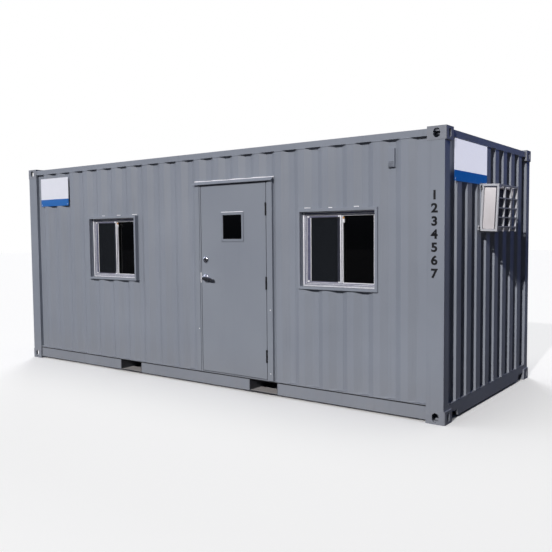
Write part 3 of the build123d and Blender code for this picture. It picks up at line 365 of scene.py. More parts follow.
# %% Dress the pieces from the drawing
dress = {
    casting_enamel: ["corner_castings_top", "corner_castings_bottom"],
    frame_enamel: [
        "corner_posts", "top_side_rail_front", "top_side_rail_back", "top_end_rail_left", "top_end_rail_right",
        "bottom_side_rail_front", "bottom_side_rail_back", "bottom_rail_lips", "bottom_end_sill_left",
        "bottom_end_sill_right",
    ],
    cladding_enamel: [
        "front_wall_left", "front_wall_right", "front_wall_over_door", "back_wall",
        "end_wall_left", "end_wall_right", "roof_panel", "roof_headers",
    ],
    fitting_enamel: ["window_surround_left", "window_surround_right", "wall_vent", "drip_cap"],
    door_enamel: ["door_frame", "door_threshold", "door_leaf", "vision_frame"],
    bitumen: ["floor_cross_members"],
    pocket_painted_shade_and_light: ["forklift_pockets"],
    floor_plywood: ["floor_boards"],
    lining_board: ["lining_sides", "lining_over_door", "lining_ends", "ceiling_lining"],
    sky_tinted_aluminium: ["window_frames", "window_sashes"],
    tinted_glass: ["window_glass", "vision_glass"],
    hinge_steel: ["hinge_frame_leaves", "hinge_door_leaves"],
    satin_chrome: ["lock_trim", "lever_handles"],
    cage_enamel: ["air_conditioner_cage"],
    cooler_enamel: ["air_conditioner"],
}
for finish, names in dress.items():
    for name in names:
        for place in nodes[name].material_slots:
            place.material = finish
print("dressed:", sum(len(names) for names in dress.values()), "of", len(nodes))

# %% [markdown]
# From here on the small pieces are modelled as by hand. A few helpers do what would be done again and again:
# add a block or a round bar at its true size and place, round its edges, join pieces into one, and hand a piece
# over with its finish and the body that it moves with. A finished piece has its object at the origin, with
# its place in its mesh, so that its pattern stays on it when it moves.

# %% Helpers for modelling
def alone(piece):
    """Deselect everything, then select this piece and work on it."""
    bpy.ops.object.select_all(action="DESELECT")
    piece.select_set(True)
    bpy.context.view_layer.objects.active = piece


def settle(name, piece=None):
    """Take the piece that was just added, move its place, turn and size into its mesh, and name it."""
    piece = piece or bpy.context.object
    alone(piece)
    bpy.ops.object.transform_apply(location=True, rotation=True, scale=True)
    piece.name = name
    piece.data.name = name
    return piece


def block(name, low, high):
    """A block between two corners."""
    bpy.ops.object.select_all(action="DESELECT")
    bpy.ops.mesh.primitive_cube_add(size=1.0, location=[(a + b) / 2 for a, b in zip(low, high)])
    bpy.context.object.scale = [b - a for a, b in zip(low, high)]
    return settle(name)


def round_bar(name, centre, radius, depth, axis="Y", sides=32):
    """A round bar or disc along one axis."""
    turn = {"X": (0, math.pi / 2, 0), "Y": (math.pi / 2, 0, 0), "Z": (0, 0, 0)}[axis]
    bpy.ops.object.select_all(action="DESELECT")
    bpy.ops.mesh.primitive_cylinder_add(vertices=sides, radius=radius, depth=depth, location=centre, rotation=turn)
    return settle(name)


def modify(piece, kind, **settings):
    """Add a modifier, set it and apply it at once."""
    alone(piece)
    modifier = piece.modifiers.new(kind.lower(), kind)
    for name, value in settings.items():
        setattr(modifier, name, value)
    bpy.ops.object.modifier_apply(modifier=modifier.name)
    return piece


def rounded(piece, width, segments=2):
    """Round the edges that are sharper than 40 degrees."""
    return modify(piece, "BEVEL", width=width, segments=segments, limit_method="ANGLE", angle_limit=math.radians(40))


def join(name, pieces):
    """Join pieces into one object."""
    alone(pieces[0])
    for piece in pieces:
        piece.select_set(True)
    bpy.ops.object.join()
    pieces[0].name = name
    pieces[0].data.name = name
    return pieces[0]


def open_faces(piece, test):
    """Open a piece for editing with only those faces selected whose centre and normal pass the test."""
    alone(piece)
    bpy.ops.object.mode_set(mode="EDIT")
    bpy.ops.mesh.select_mode(type="FACE")
    bpy.ops.mesh.select_all(action="DESELECT")
    bpy.ops.object.mode_set(mode="OBJECT")
    for face in piece.data.polygons:
        face.select = bool(test(face.center, face.normal))
    bpy.ops.object.mode_set(mode="EDIT")


def close_edit():
    """Leave editing."""
    bpy.ops.object.mode_set(mode="OBJECT")


def facing(axis, way):
    """A test for faces that look along one axis: 0, 1 or 2 for x, y or z, and way -1 or 1."""
    return lambda centre, normal: normal[axis] * way > 0.9


def press(piece, test, inset=None, shift=None, extrude=None, resize=None):
    """Inset the faces that pass the test, then shift, extrude or resize them."""
    open_faces(piece, test)
    if inset:
        bpy.ops.mesh.inset(thickness=inset)
    if shift:
        bpy.ops.transform.translate(value=shift)
    if extrude:
        bpy.ops.mesh.extrude_region_move(TRANSFORM_OT_translate={"value": extrude})
    if resize:
        bpy.ops.transform.resize(value=resize)
    close_edit()
    return piece


def bar_frame(name, x0, x1, z0, z1, bar, y0, y1):
    """A rectangular frame facing along y: a flat sheet, inset, its middle taken out, extruded to its depth."""
    bpy.ops.object.select_all(action="DESELECT")
    bpy.ops.mesh.primitive_plane_add(size=1.0, location=((x0 + x1) / 2, y0, (z0 + z1) / 2),
                                     rotation=(math.pi / 2, 0, 0))
    bpy.context.object.scale = (x1 - x0, z1 - z0, 1.0)
    piece = settle(name)
    bpy.ops.object.mode_set(mode="EDIT")
    bpy.ops.mesh.select_mode(type="FACE")
    bpy.ops.mesh.select_all(action="SELECT")
    bpy.ops.mesh.inset(thickness=bar)
    bpy.ops.mesh.delete(type="FACE")
    bpy.ops.mesh.select_all(action="SELECT")
    bpy.ops.mesh.extrude_region_move(TRANSFORM_OT_translate={"value": (0, y1 - y0, 0)})
    bpy.ops.mesh.select_all(action="SELECT")
    bpy.ops.mesh.normals_make_consistent(inside=False)
    close_edit()
    return piece


def bead(name, path, radius, resolution=1):
    """A round bead of weld metal, sealant or rubber: a curve drawn point by point, thickened and made a mesh."""
    bpy.ops.object.select_all(action="DESELECT")
    bpy.ops.curve.primitive_nurbs_path_add(location=(0, 0, 0))
    line = bpy.context.object
    bpy.ops.object.mode_set(mode="EDIT")
    bpy.ops.curve.select_all(action="SELECT")
    bpy.ops.curve.delete(type="VERT")
    for point in path:
        bpy.ops.curve.vertex_add(location=point)
    bpy.ops.curve.select_all(action="SELECT")
    bpy.ops.curve.spline_type_set(type="POLY")
    bpy.ops.object.mode_set(mode="OBJECT")
    line.data.bevel_depth = radius
    line.data.bevel_resolution = resolution
    line.data.use_fill_caps = True
    bpy.ops.object.convert(target="MESH")
    return settle(name)


def hand_over(piece, finish, body="cabin", smooth=35):
    """Give a piece its finish, shade it smooth up to an angle, and let it ride on its body."""
    if finish is not None:
        piece.data.materials.clear()
        piece.data.materials.append(finish)
    alone(piece)
    bpy.ops.object.shade_smooth_by_angle(angle=math.radians(smooth))
    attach(piece, body)
    return piece


print("modelling helpers ready")

# %% [markdown]
# Where the corrugated sheet meets a rail it is welded along its whole zigzag edge. The bead is a round cord
# of weld metal that follows the ribs. A curve with a round bevel does that: its points are the corners of
# the ribs, worked out from the rib sizes of the sheet.

# %% The ribs of the walls
side_ribs = {"pitch": 0.278, "crest": 0.072, "web": 0.068, "depth": 0.036}
end_ribs = {"pitch": 0.250, "crest": 0.110, "web": 0.018, "depth": 0.0456}


def behind_crest(at, ribs):
    """How far the sheet lies behind its crests at a distance from the middle of the wall."""
    off = abs(at % ribs["pitch"] - ribs["pitch"] / 2)
    return min(max((off - ribs["crest"] / 2) / ribs["web"], 0.0), 1.0) * ribs["depth"]


def bends(start, end, ribs):
    """The places along the wall at which the sheet bends, with the two ends."""
    found = {start, end}
    half = ribs["crest"] / 2
    for number in range(int(start / ribs["pitch"]) - 2, int(end / ribs["pitch"]) + 2):
        middle = (number + 0.5) * ribs["pitch"]
        for step in (-half - ribs["web"], -half, half, half + ribs["web"]):
            if start < middle + step < end:
                found.add(middle + step)
    return sorted(found)


crest_y = abs(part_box("front_wall_left")[0][1])
crest_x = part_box("end_wall_right")[1][0]


def along_side(start, end, z, proud=0.0, side=-1):
    """A path along a long side, on the sheet's face."""
    return [(x, side * (crest_y - behind_crest(x, side_ribs) + proud), z) for x in bends(start, end, side_ribs)]


def along_end(start, end, z, proud=0.0, side=1):
    """A path along an end, on the sheet's face."""
    return [(side * (crest_x - behind_crest(y, end_ribs) + proud), y, z) for y in bends(start, end, end_ribs)]


print("crests at y", round(crest_y, 3), "and x", round(crest_x, 3))

# %% Weld beads along the walls
wall_low, wall_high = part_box("back_wall")
door_low, door_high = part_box("door_frame")
end_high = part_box("end_wall_right")[1]
foot_z, head_z = wall_low[2], wall_high[2]
bay = wall_high[0]
weld_radius, box_weld_radius = 0.004, 0.005
weld_inset, weld_proud = 0.003, 0.002
bead_smooth = 60
runs = [
    along_side(-bay, door_low[0], foot_z + weld_inset, weld_proud),
    along_side(door_high[0], bay, foot_z + weld_inset, weld_proud),
    along_side(-bay, bay, head_z - weld_inset, weld_proud),
]
welds = [bead("weld", path, weld_radius) for path in runs]
hand_over(join("front_wall_welds", welds), cladding_enamel, smooth=bead_smooth)
rows = (foot_z + weld_inset, head_z - weld_inset)
welds = [bead("weld", along_side(-bay, bay, z, weld_proud, 1), weld_radius) for z in rows]
hand_over(join("back_wall_welds", welds), cladding_enamel, smooth=bead_smooth)
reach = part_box("top_end_rail_right")[1][1]
for hand, side in (("left", -1), ("right", 1)):
    spans = zip((end_high[1], reach), rows)
    welds = [bead("weld", along_end(-half, half, z, weld_proud, side), weld_radius) for half, z in spans]
    hand_over(join(f"end_wall_welds_{hand}", welds), cladding_enamel, smooth=bead_smooth)
print("wall welds follow", len(bends(-bay, bay, side_ribs)), "bends on each long side")

# %% [markdown]
# The posts are welded to the castings all round, in heavy multi-pass beads. On each corner the two outer faces show
# them, at the foot and at the head. Where each side rail meets the post, a short upright bead runs up the rail's
# face.

# %% Weld beads at the corners
post_low, post_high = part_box("corner_posts")
post_x, post_y = post_high[0], post_high[1]
corners = []
# Each level: the height of the bead round the post, the face of the side rail, the ends of the bead on the rail.
levels = (
    (post_low[2] + 0.001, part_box("bottom_side_rail_back")[1][1], 0.026, 0.158),
    (post_high[2] - 0.001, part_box("top_side_rail_back")[1][1], 2.518, 2.571),
)
for side_x in (-1, 1):
    for side_y in (-1, 1):
        for z, rail_y, foot, head in levels:
            face_x, face_y = side_x * (post_x - 0.0015), side_y * (post_y - 0.0015)
            path = [(face_x - side_x * 0.155, face_y, z), (face_x, face_y, z), (face_x, face_y - side_y * 0.105, z)]
            corners.append(bead("weld", path, weld_radius))
            path = [(side_x * bay, side_y * rail_y, foot), (side_x * bay, side_y * rail_y, head)]
            corners.append(bead("weld", path, weld_radius))
hand_over(join("corner_welds", corners), casting_enamel, smooth=bead_smooth)
print("corner welds done")

# %% [markdown]
# Each window sits in a welded box that passes through the ribbed sheet, and so does the door's frame. Painted weld
# beads run along them all round. Above each box, on the slope of each rib, sits a short pale dab that follows the
# slope.
# Over the door one wavy pale bead follows the ribs above the drip cap, a painted highlight for the sunlit top of the
# cap, and a black bead under the lip of each bottom rail is a painted shadow of the lip.

# %% Pale dabs, painted highlight and shadow beads, and welds round the window boxes and over the door
def dabs(name, start, end, z):
    """Pale dabs on the slopes of the ribs between two places along the front."""
    found = []
    pitch = side_ribs["pitch"]
    for number in range(math.ceil(start / pitch - 0.5), math.floor(end / pitch - 0.5) + 1):
        slope = (number + 0.5) * pitch + 0.058
        uneven = number % 3
        path = along_side(slope - 0.020, slope + 0.012 + 0.010 * uneven, z + 0.002 * uneven)
        found.append(bead("dab", path, 0.0045, 2))
    return hand_over(join(name, found), pale_sealant_and_highlight, smooth=bead_smooth)


for hand in ("left", "right"):
    low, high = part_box(f"window_surround_{hand}")
    dabs(f"window_head_pale_dabs_{hand}", low[0], high[0] - 0.10, high[2] + 0.010)
    sides = [
        bead("weld", along_side(low[0], high[0], low[2] - 0.001, 0.001), box_weld_radius),
        bead("weld", along_side(low[0], high[0], high[2] + 0.001, 0.001), box_weld_radius),
    ]
    for x in (low[0], high[0]):
        y = -(crest_y - behind_crest(x, side_ribs) + 0.001)
        sides.append(bead("weld", [(x, y, low[2]), (x, y, high[2])], box_weld_radius))
    hand_over(join(f"window_box_welds_{hand}", sides), fitting_enamel, smooth=bead_smooth)
cap_low, cap_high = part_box("drip_cap")
# A pale bead above the cap is a painted highlight for the cap's sunlit sloped top.
path = along_side(cap_low[0] + 0.010, cap_high[0] - 0.004, cap_high[2] + 0.003, 0.004)
cap_top_highlight = bead("door_head_highlight_bead", path, 0.0080, 2)
hand_over(cap_top_highlight, pale_sealant_and_highlight, smooth=bead_smooth)
sides = [bead("weld", along_side(cap_low[0], cap_high[0], cap_high[2] + 0.001, 0.002), box_weld_radius)]
for x in (door_low[0], door_high[0]):
    y = -(crest_y - behind_crest(x, side_ribs) + 0.001)
    sides.append(bead("weld", [(x, y, door_low[2]), (x, y, cap_low[2])], box_weld_radius))
hand_over(join("door_frame_welds", sides), door_enamel, smooth=bead_smooth)
lip_low, lip_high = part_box("bottom_rail_lips")
rail_face = abs(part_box("bottom_side_rail_front")[0][1])
# A black bead under each lip is a painted shadow of the lip on the rail face.
for hand, side in (("front", -1), ("back", 1)):
    strip = [(x, side * (rail_face + 0.0010), lip_low[2] - 0.0065) for x in (-bay, bay)]
    hand_over(bead(f"rail_lip_shadow_bead_{hand}", strip, 0.0070, 2), seal_rubber, smooth=bead_smooth)
print("sealant done, lip at", [round(v, 4) for v in lip_low + lip_high], "rail face at", round(rail_face, 4))

# %% [markdown]
# The windows are horizontal sliders in aluminium. What makes them read as such is the stepped section of the
# extrusions: a thin lip round the outer frame, a bright glazing bead round the fixed pane, two track lips along
# the sill, corner keys in the sash and a small catch at the meeting stile. Each is modelled as the bar that
# it is, with its edges rounded a little so that they catch the light.

# %% Measures of the windows
frame_low, frame_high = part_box("window_frames")
sash_low, sash_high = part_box("window_sashes")
face_y, sash_y = frame_low[1], sash_low[1]
window_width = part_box("window_surround_left")[1][0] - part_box("window_surround_left")[0][0] - 0.050
window_lefts = (frame_low[0], frame_high[0] - window_width)
sash_edge = sash_low[0] - frame_low[0]
meeting_at = sash_high[0] - window_lefts[1]
sill_z, head_of_window = frame_low[2], frame_high[2]
sash_foot, sash_head = sash_low[2], sash_high[2]
stile, meeting_width = 0.052, 0.048
print("each window is", round(window_width, 3), "wide and", round(head_of_window - sill_z, 3), "high")

# %% Window trim
for hand, left in zip(("left", "right"), window_lefts):
    right = left + window_width
    meeting = left + meeting_at
    sash_left = left + sash_edge

    # The outer frame: its nailing lip, the lip inside it, and the two lips of the sill track.
    # The lips are near white, a painted highlight for the faces in sun.
    lips = [
        rounded(bar_frame("lip", left + 0.001, right - 0.001, sill_z + 0.001, head_of_window - 0.001, 0.007,
                          face_y - 0.008, face_y), 0.0012),
        rounded(block("stop", (left + 0.001, face_y - 0.012, sill_z + 0.011),
                      (left + 0.016, face_y, head_of_window - 0.011)), 0.002),
        rounded(bar_frame("lip", left + 0.027, right - 0.027, sash_foot - 0.012, sash_head + 0.012, 0.005,
                          face_y - 0.005, face_y), 0.0012),
        rounded(block("track", (left + 0.008, face_y - 0.010, sill_z + 0.012),
                      (right - 0.008, face_y, sill_z + 0.016)), 0.0012),
    ]
    hand_over(join(f"window_lips_{hand}", lips), highlight_aluminium)

    # The sash: a raised edge round the stiles and rails, the long finger pull, and the bead beside the pane.
    ridges = [
        rounded(bar_frame("ridge", sash_left + 0.001, meeting - 0.001, sash_foot + 0.001, sash_head - 0.001, 0.004,
                          sash_y - 0.003, sash_y), 0.001),
        rounded(block("pull", (meeting - 0.014, sash_y - 0.009, sash_foot + 0.006),
                      (meeting - 0.001, sash_y, sash_head - 0.006)), 0.003, 3),
        rounded(block("bead", (sash_left + stile - 0.010, sash_y - 0.005, sash_foot + 0.015),
                      (sash_left + stile - 0.002, sash_y, sash_head - 0.021)), 0.002, 3),
    ]
    hand_over(join(f"sash_ridges_{hand}", ridges), highlight_aluminium)

    # Corner keys hold the sash bars together; their pale heads show at its four corners.
    keys = []
    for x in (sash_left + 0.018, meeting - 0.030):
        for z in (sash_foot + 0.012, sash_head - 0.012):
            key = round_bar("key", (x, sash_y - 0.002, z), 0.010, 0.005, sides=20)
            press(key, facing(1, -1), inset=0.003, shift=(0, 0.0015, 0))
            keys.append(key)
    hand_over(join(f"corner_keys_{hand}", keys), white_nylon)

    # The screen fills the sash in front of its pane, held by a black spline.
    screen = (sash_left + stile - 0.002, meeting - meeting_width + 0.024, sash_foot + 0.014, sash_head - 0.020)
    mesh = block(f"insect_screen_{hand}", (screen[0], sash_y - 0.0020, screen[2]),
                 (screen[1], sash_y - 0.0015, screen[3]))
    press(mesh, lambda centre, normal: abs(normal.y) > 0.9, inset=0.004)
    hand_over(mesh, insect_screen)
    spline = rounded(bar_frame(f"screen_spline_{hand}", *screen, 0.006, sash_y - 0.0035, sash_y + 0.005), 0.0015)
    hand_over(spline, seal_rubber)

    # The fixed pane: a bright glazing bead with a black seal inside it.
    pane = (meeting + 0.001, right - 0.041, sill_z + 0.037, head_of_window - 0.035)
    glazing = rounded(bar_frame(f"glazing_bead_{hand}", *pane, 0.009, face_y + 0.008, face_y + 0.026), 0.002)
    hand_over(glazing, highlight_aluminium)
    inside = (pane[0] + 0.009, pane[1] - 0.009, pane[2] + 0.009, pane[3] - 0.009)
    seal = rounded(bar_frame(f"pane_seal_{hand}", *inside, 0.004, face_y + 0.020, face_y + 0.030), 0.001)
    hand_over(seal, seal_rubber)

    # The catch hangs beside the meeting stile near the head: a pale thumb piece with an amber button.
    thumb = block(f"catch_thumb_{hand}", (meeting + 0.012, face_y, sash_head - 0.078),
                  (meeting + 0.032, face_y + 0.010, sash_head - 0.040))
    press(thumb, facing(1, -1), inset=0.005, shift=(0, -0.005, 0))
    hand_over(rounded(thumb, 0.002), white_nylon)
    button = round_bar(f"catch_button_{hand}", (meeting + 0.021, face_y + 0.001, sash_head - 0.030), 0.010, 0.010,
                       sides=20)
    hand_over(rounded(button, 0.003, 3), amber_nylon)
print("window trim done for", len(window_lefts), "windows")

# %% [markdown]
# The door hangs in a pressed steel frame. Its black rubber seal sits on the stop, behind the leaf, and a bright
# strike plate is let into the frame beside the latch. White caps cover the anchor bolts. On the leaf, a
# raised rim with a black gasket and small screws holds the little pane.

# %% Door seal, strike plate and anchor caps
leaf_low, leaf_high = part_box("door_leaf")
leaf_gap = 0.007
opening_left, opening_right = leaf_low[0] - leaf_gap, leaf_high[0] + leaf_gap
opening_top, stop_y = leaf_high[2] + leaf_gap, leaf_high[1] + leaf_gap
seal_foot, seal_head, seal_y = leaf_low[2] + 0.010, opening_top - 0.008, stop_y - 0.0015
corners = ((opening_left + 0.008, seal_foot), (opening_left + 0.008, seal_head),
           (opening_right - 0.008, seal_head), (opening_right - 0.008, seal_foot))
path = [(x, seal_y, z) for x, z in corners]
hand_over(bead("door_seal", path, 0.0042, 2), seal_rubber, smooth=bead_smooth)

lever_low, lever_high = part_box("lever_handles")
lever_z = (lever_low[2] + lever_high[2]) / 2
plate = block("strike_plate", (opening_left - 0.012, leaf_low[1] - 0.0016, lever_z - 0.056),
              (opening_left - 0.0005, leaf_low[1] + 0.001, lever_z + 0.056))
press(plate, facing(1, -1), inset=0.003, shift=(0, -0.0006, 0))
hand_over(rounded(plate, 0.0008), highlight_aluminium)

caps = []
for x, z in ((door_high[0] - 0.030, 0.900), (door_high[0] - 0.030, 0.240), (door_low[0] + 0.040, 0.640)):
    cap = round_bar("cap", (x, door_low[1] - 0.0005, z), 0.0065, 0.003, sides=16)
    caps.append(rounded(cap, 0.001))
hand_over(join("anchor_caps", caps), white_nylon)
print("door frame trim done, stop at y", round(stop_y, 4))

# %% Pane gasket and rim screws
rim_low, rim_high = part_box("vision_frame")
pane_low, pane_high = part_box("vision_glass")
leaf_face, rim_face = leaf_low[1], rim_low[1]
gasket = bar_frame("pane_gasket", pane_low[0] + 0.0005, pane_high[0] - 0.0005, pane_low[2] + 0.0005,
                   pane_high[2] - 0.0005, 0.004,
                   rim_face + 0.003, pane_low[1] - 0.0002)
hand_over(rounded(gasket, 0.001), seal_rubber, body="door")
lip = bar_frame("rim_lip", rim_low[0] + 0.003, rim_high[0] - 0.003, rim_low[2] + 0.003, rim_high[2] - 0.003, 0.004,
                rim_face - 0.0025, rim_face)
hand_over(rounded(lip, 0.001), door_enamel, body="door")
screw = round_bar("screw", (rim_low[0] + 0.014, rim_face - 0.0008, rim_low[2] + 0.014), 0.0045, 0.003, sides=16)
rounded(screw, 0.0012)
span = rim_high[0] - rim_low[0] - 0.028
screws = [screw]
for across, up in ((1, 0), (0, 1), (1, 1), (0.5, 0), (0.5, 1), (0, 0.5), (1, 0.5)):
    alone(screw)
    bpy.ops.object.duplicate(linked=False)
    bpy.context.object.location = (across * span, 0, up * span)
    screws.append(settle("screw"))
hand_over(join("rim_screws", screws), door_enamel, body="door")
# A pale bead along the top of the rim is a painted highlight for its sunlit top edge.
path = [(x, leaf_face, rim_high[2] + 0.001) for x in (rim_low[0] + 0.004, rim_high[0] - 0.004)]
drip = bead("vision_head_highlight_bead", path, 0.0055, 2)
hand_over(drip, pale_sealant_and_highlight, body="door", smooth=bead_smooth)
print("pane trim done")

# %% [markdown]
# The lock is a storeroom set: a deadbolt above, a lever below, in satin chrome. The roses are turned, so each
# is drawn as half a profile and spun round its spindle. The keyway plug is a small dark steel disc
# with a slot. The same parts, turned about, sit on the inside face of the leaf.

# %% Turned roses
def turned(name, centre, profile, side):
    """A turned part: a profile of (radius, height) spun round an axis along y, standing out towards side."""
    bpy.ops.object.select_all(action="DESELECT")
    bpy.ops.mesh.primitive_plane_add(size=0.01, location=centre)
    piece = settle(name)
    bpy.ops.object.mode_set(mode="EDIT")
    bpy.ops.mesh.select_mode(type="VERT")
    bpy.ops.mesh.select_all(action="SELECT")
    bpy.ops.mesh.merge(type="CENTER")
    bpy.ops.transform.translate(value=(profile[0][0], side * profile[0][1], 0))
    for (r0, h0), (r1, h1) in zip(profile, profile[1:]):
        bpy.ops.mesh.extrude_region_move(TRANSFORM_OT_translate={"value": (r1 - r0, side * (h1 - h0), 0)})
    bpy.ops.mesh.select_all(action="SELECT")
    bpy.ops.mesh.spin(steps=40, angle=2 * math.pi, center=centre, axis=(0, 1, 0))
    bpy.ops.mesh.select_all(action="SELECT")
    bpy.ops.mesh.remove_doubles(threshold=0.00005)
    bpy.ops.mesh.normals_make_consistent(inside=False)
    close_edit()
    return piece


lock_low, lock_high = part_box("lock_trim")
lever_x = (lock_low[0] + lock_high[0]) / 2
bolt_z = lock_high[2] - 0.029
rose = [(0.0, 0.002), (0.0445, 0.002), (0.0450, 0.004), (0.0435, 0.010), (0.0380, 0.016), (0.0290, 0.0195),
        (0.0200, 0.0205),
        (0.0175, 0.0230), (0.0165, 0.0270), (0.0160, 0.0330), (0.0, 0.0330)]
bolt = [(0.0, 0.001), (0.0365, 0.001), (0.0370, 0.003), (0.0355, 0.011), (0.0290, 0.0180), (0.0195, 0.0200),
        (0.0180, 0.0180), (0.0, 0.0180)]
plug = [(0.0, 0.017), (0.0105, 0.017), (0.0105, 0.0202), (0.0095, 0.0212), (0.0, 0.0212)]
lock_pieces = []
for side, face in ((-1, leaf_low[1]), (1, leaf_high[1])):
    lock_pieces.append(turned("rose", (lever_x, face, lever_z), rose, side))
    lock_pieces.append(turned("bolt", (lever_x, face, bolt_z), bolt, side))
lock_set = hand_over(join("lock_set", lock_pieces), satin_chrome, body="door", smooth=40)
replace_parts(lock_set, "lock_trim")
keyway = turned("keyway_plug", (lever_x, leaf_low[1], bolt_z), plug, -1)
slot = block("slot", (lever_x - 0.001, leaf_low[1] - 0.0216, bolt_z - 0.006),
             (lever_x + 0.001, leaf_low[1] - 0.0208, bolt_z + 0.006))
hand_over(join("keyway_plug", [keyway, rounded(slot, 0.0003)]), hinge_steel, body="door",
          smooth=40)
turn_piece = block("thumb_turn", (lever_x - 0.006, leaf_high[1] + 0.015, bolt_z - 0.020),
                   (lever_x + 0.006, leaf_high[1] + 0.034, bolt_z + 0.020))
hand_over(rounded(turn_piece, 0.004, 3), satin_chrome, body="door")
print("lock set done")

# %% [markdown]
# The lever is forged: a round shank leaves the rose, turns, and runs towards the hinges as a thick grip that
# drops a little and thins to its end. It is drawn as a short chain of square rings by extruding and scaling one
# end face, and a Subdivision Surface modifier rounds it as the forging and polishing would.

# %% Lever handles
def lever(name, side, face):
    """One lever on one face of the leaf; side is -1 outdoors and 1 indoors."""
    out = face + side * 0.050
    half, tall_half = 0.0195, 0.0250
    near, far = sorted((face + side * 0.026, out))
    low, high = (lever_x - half, near, lever_z - tall_half), (lever_x + half, far, lever_z + tall_half)
    piece = press(block(name, low, high), facing(1, side), extrude=(0.000, side * 0.012, 0.001))
    open_faces(piece, lambda centre, normal: normal.x > 0.9 and side * (centre.y - out) > -0.0005)
    # Each ring of the grip: how far it runs and drops, and how tall and deep it is beside the last.
    rings = ((0.026, 0.000, 1.00, 1.10), (0.036, -0.003, 0.94, 0.98), (0.036, -0.005, 0.92, 0.96),
             (0.018, -0.004, 0.74, 0.84))
    for run, drop, tall, deep in rings:
        bpy.ops.mesh.extrude_region_move(TRANSFORM_OT_translate={"value": (run, 0, drop)})
        bpy.ops.transform.resize(value=(1.0, deep, tall))
    close_edit()
    return modify(piece, "SUBSURF", levels=3, render_levels=3)


levers = [lever("lever", -1, leaf_low[1]), lever("lever", 1, leaf_high[1])]
grips = hand_over(join("lever_grips", levers), satin_chrome, body="lever", smooth=bead_smooth)
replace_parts(grips, "lever_handles")
print("levers:", len(grips.data.polygons), "faces")

# %% [markdown]
# Each hinge has a pin with a button head at both ends, and countersunk screws in its leaves, which show when the
# door stands open. The knuckles are in the drawing; the heads and screws are added here.

# %% Hinge pins and screws
hinge_low, hinge_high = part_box("hinge_frame_leaves")
hinge_x = (hinge_low[0] + hinge_high[0]) / 2
hinge_y = hinge_low[1] + 0.008
hinge_tall = 0.127
middles = (hinge_low[2] + hinge_tall / 2, (hinge_low[2] + hinge_high[2]) / 2, hinge_high[2] - hinge_tall / 2)
buttons = []
for z in middles:
    for up in (-1, 1):
        button = round_bar("button", (hinge_x, hinge_y, z + up * (hinge_tall / 2 + 0.0018)), 0.0070, 0.0032, axis="Z",
                           sides=20)
        buttons.append(rounded(button, 0.0012))
hand_over(join("hinge_pin_heads", buttons), hinge_steel)
screws = []
for z in middles:
    for share in (-0.38, 0.0, 0.38):
        spot = (leaf_high[0] + 0.0002, leaf_low[1] + 0.020, z + share * hinge_tall)
        screws.append(rounded(round_bar("screw", spot, 0.0045, 0.0016, axis="X", sides=14), 0.0006))
hand_over(join("hinge_screws", screws), highlight_aluminium, body="door")
print("hinge trim done at heights", [round(z, 3) for z in middles])

# %% [markdown]
# The air conditioner goes through the end wall and leans out by two and a half degrees, so that rain and
# condensate run off. It is modelled upright at the wall's face, then turned once. Its casing is a thin
# shell: the outdoor face is inset and pushed in to make the rim round the coil, the indoor face likewise for
# the grille. Louvre slots near the outdoor edge let air in at the sides.

# %% Air conditioner
tilt = math.radians(2.5)
pivot = (crest_x, -0.070, 1.693)


def lean(piece, name):
    """Set a piece that was modelled at the origin into the wall, leaning out."""
    piece.location = pivot
    piece.rotation_euler = (0, tilt, 0)
    return settle(name, piece)


casing_half = 0.2625
shell = block("shell", (-0.371, -casing_half, 0.0206), (0.1275, casing_half, 0.4245))
press(shell, facing(0, 1), inset=0.016, extrude=(-0.030, 0, 0))
press(shell, facing(0, -1), inset=0.020, extrude=(0.014, 0, 0))
rounded(shell, 0.004, 3)
casing = lean(shell, "cooler_casing")
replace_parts(hand_over(casing, cooler_enamel), "air_conditioner")

louvres = []
for number in range(7):
    z = 0.110 + number * 0.026
    for side in (-1, 1):
        louvre = block("louvre", (-0.150, side * casing_half - 0.003, z),
                       (-0.020, side * casing_half + 0.003, z + 0.012))
        press(louvre, facing(2, -1), resize=(1.0, 0.3, 1.0))
        louvres.append(rounded(louvre, 0.0015))
hand_over(lean(join("louvres", louvres), "cooler_louvres"), cooler_enamel)

coil = block("coil", (0.070, -0.2450, 0.0380), (0.0985, 0.2450, 0.4070))
press(coil, facing(0, 1), inset=0.006, extrude=(0.004, 0, 0))
hand_over(lean(coil, "cooler_coil"), shaded_fin_stack)

bars = []
for number in range(9):
    z = 0.060 + number * 0.040
    bars.append(rounded(block("bar", (-0.369, -0.235, z), (-0.360, 0.235, z + 0.020)), 0.002))
hand_over(lean(join("grille", bars), "cooler_room_grille"), cooler_enamel)

collar = []
wide, foot, head = 0.292, -0.018, 0.454
strips = ((-wide, wide, foot, 0.016), (-wide, wide, 0.428, head), (-wide, -0.266, foot, head),
          (0.266, wide, foot, head))
for y0, y1, z0, z1 in strips:
    collar.append(rounded(block("flat", (-0.016, y0, z0), (-0.001, y1, z1)), 0.002))
hand_over(lean(join("collar", collar), "cooler_collar"), cladding_enamel)
print("air conditioner: casing, louvres, coil, grille and collar")

# %% [markdown]
# The cage is welded from square bar, with a small fillet of weld at every crossing, and it hangs on four plates
# that are bolted through the wall. The fillets are little round beads; the bolts have hexagon heads and washers.

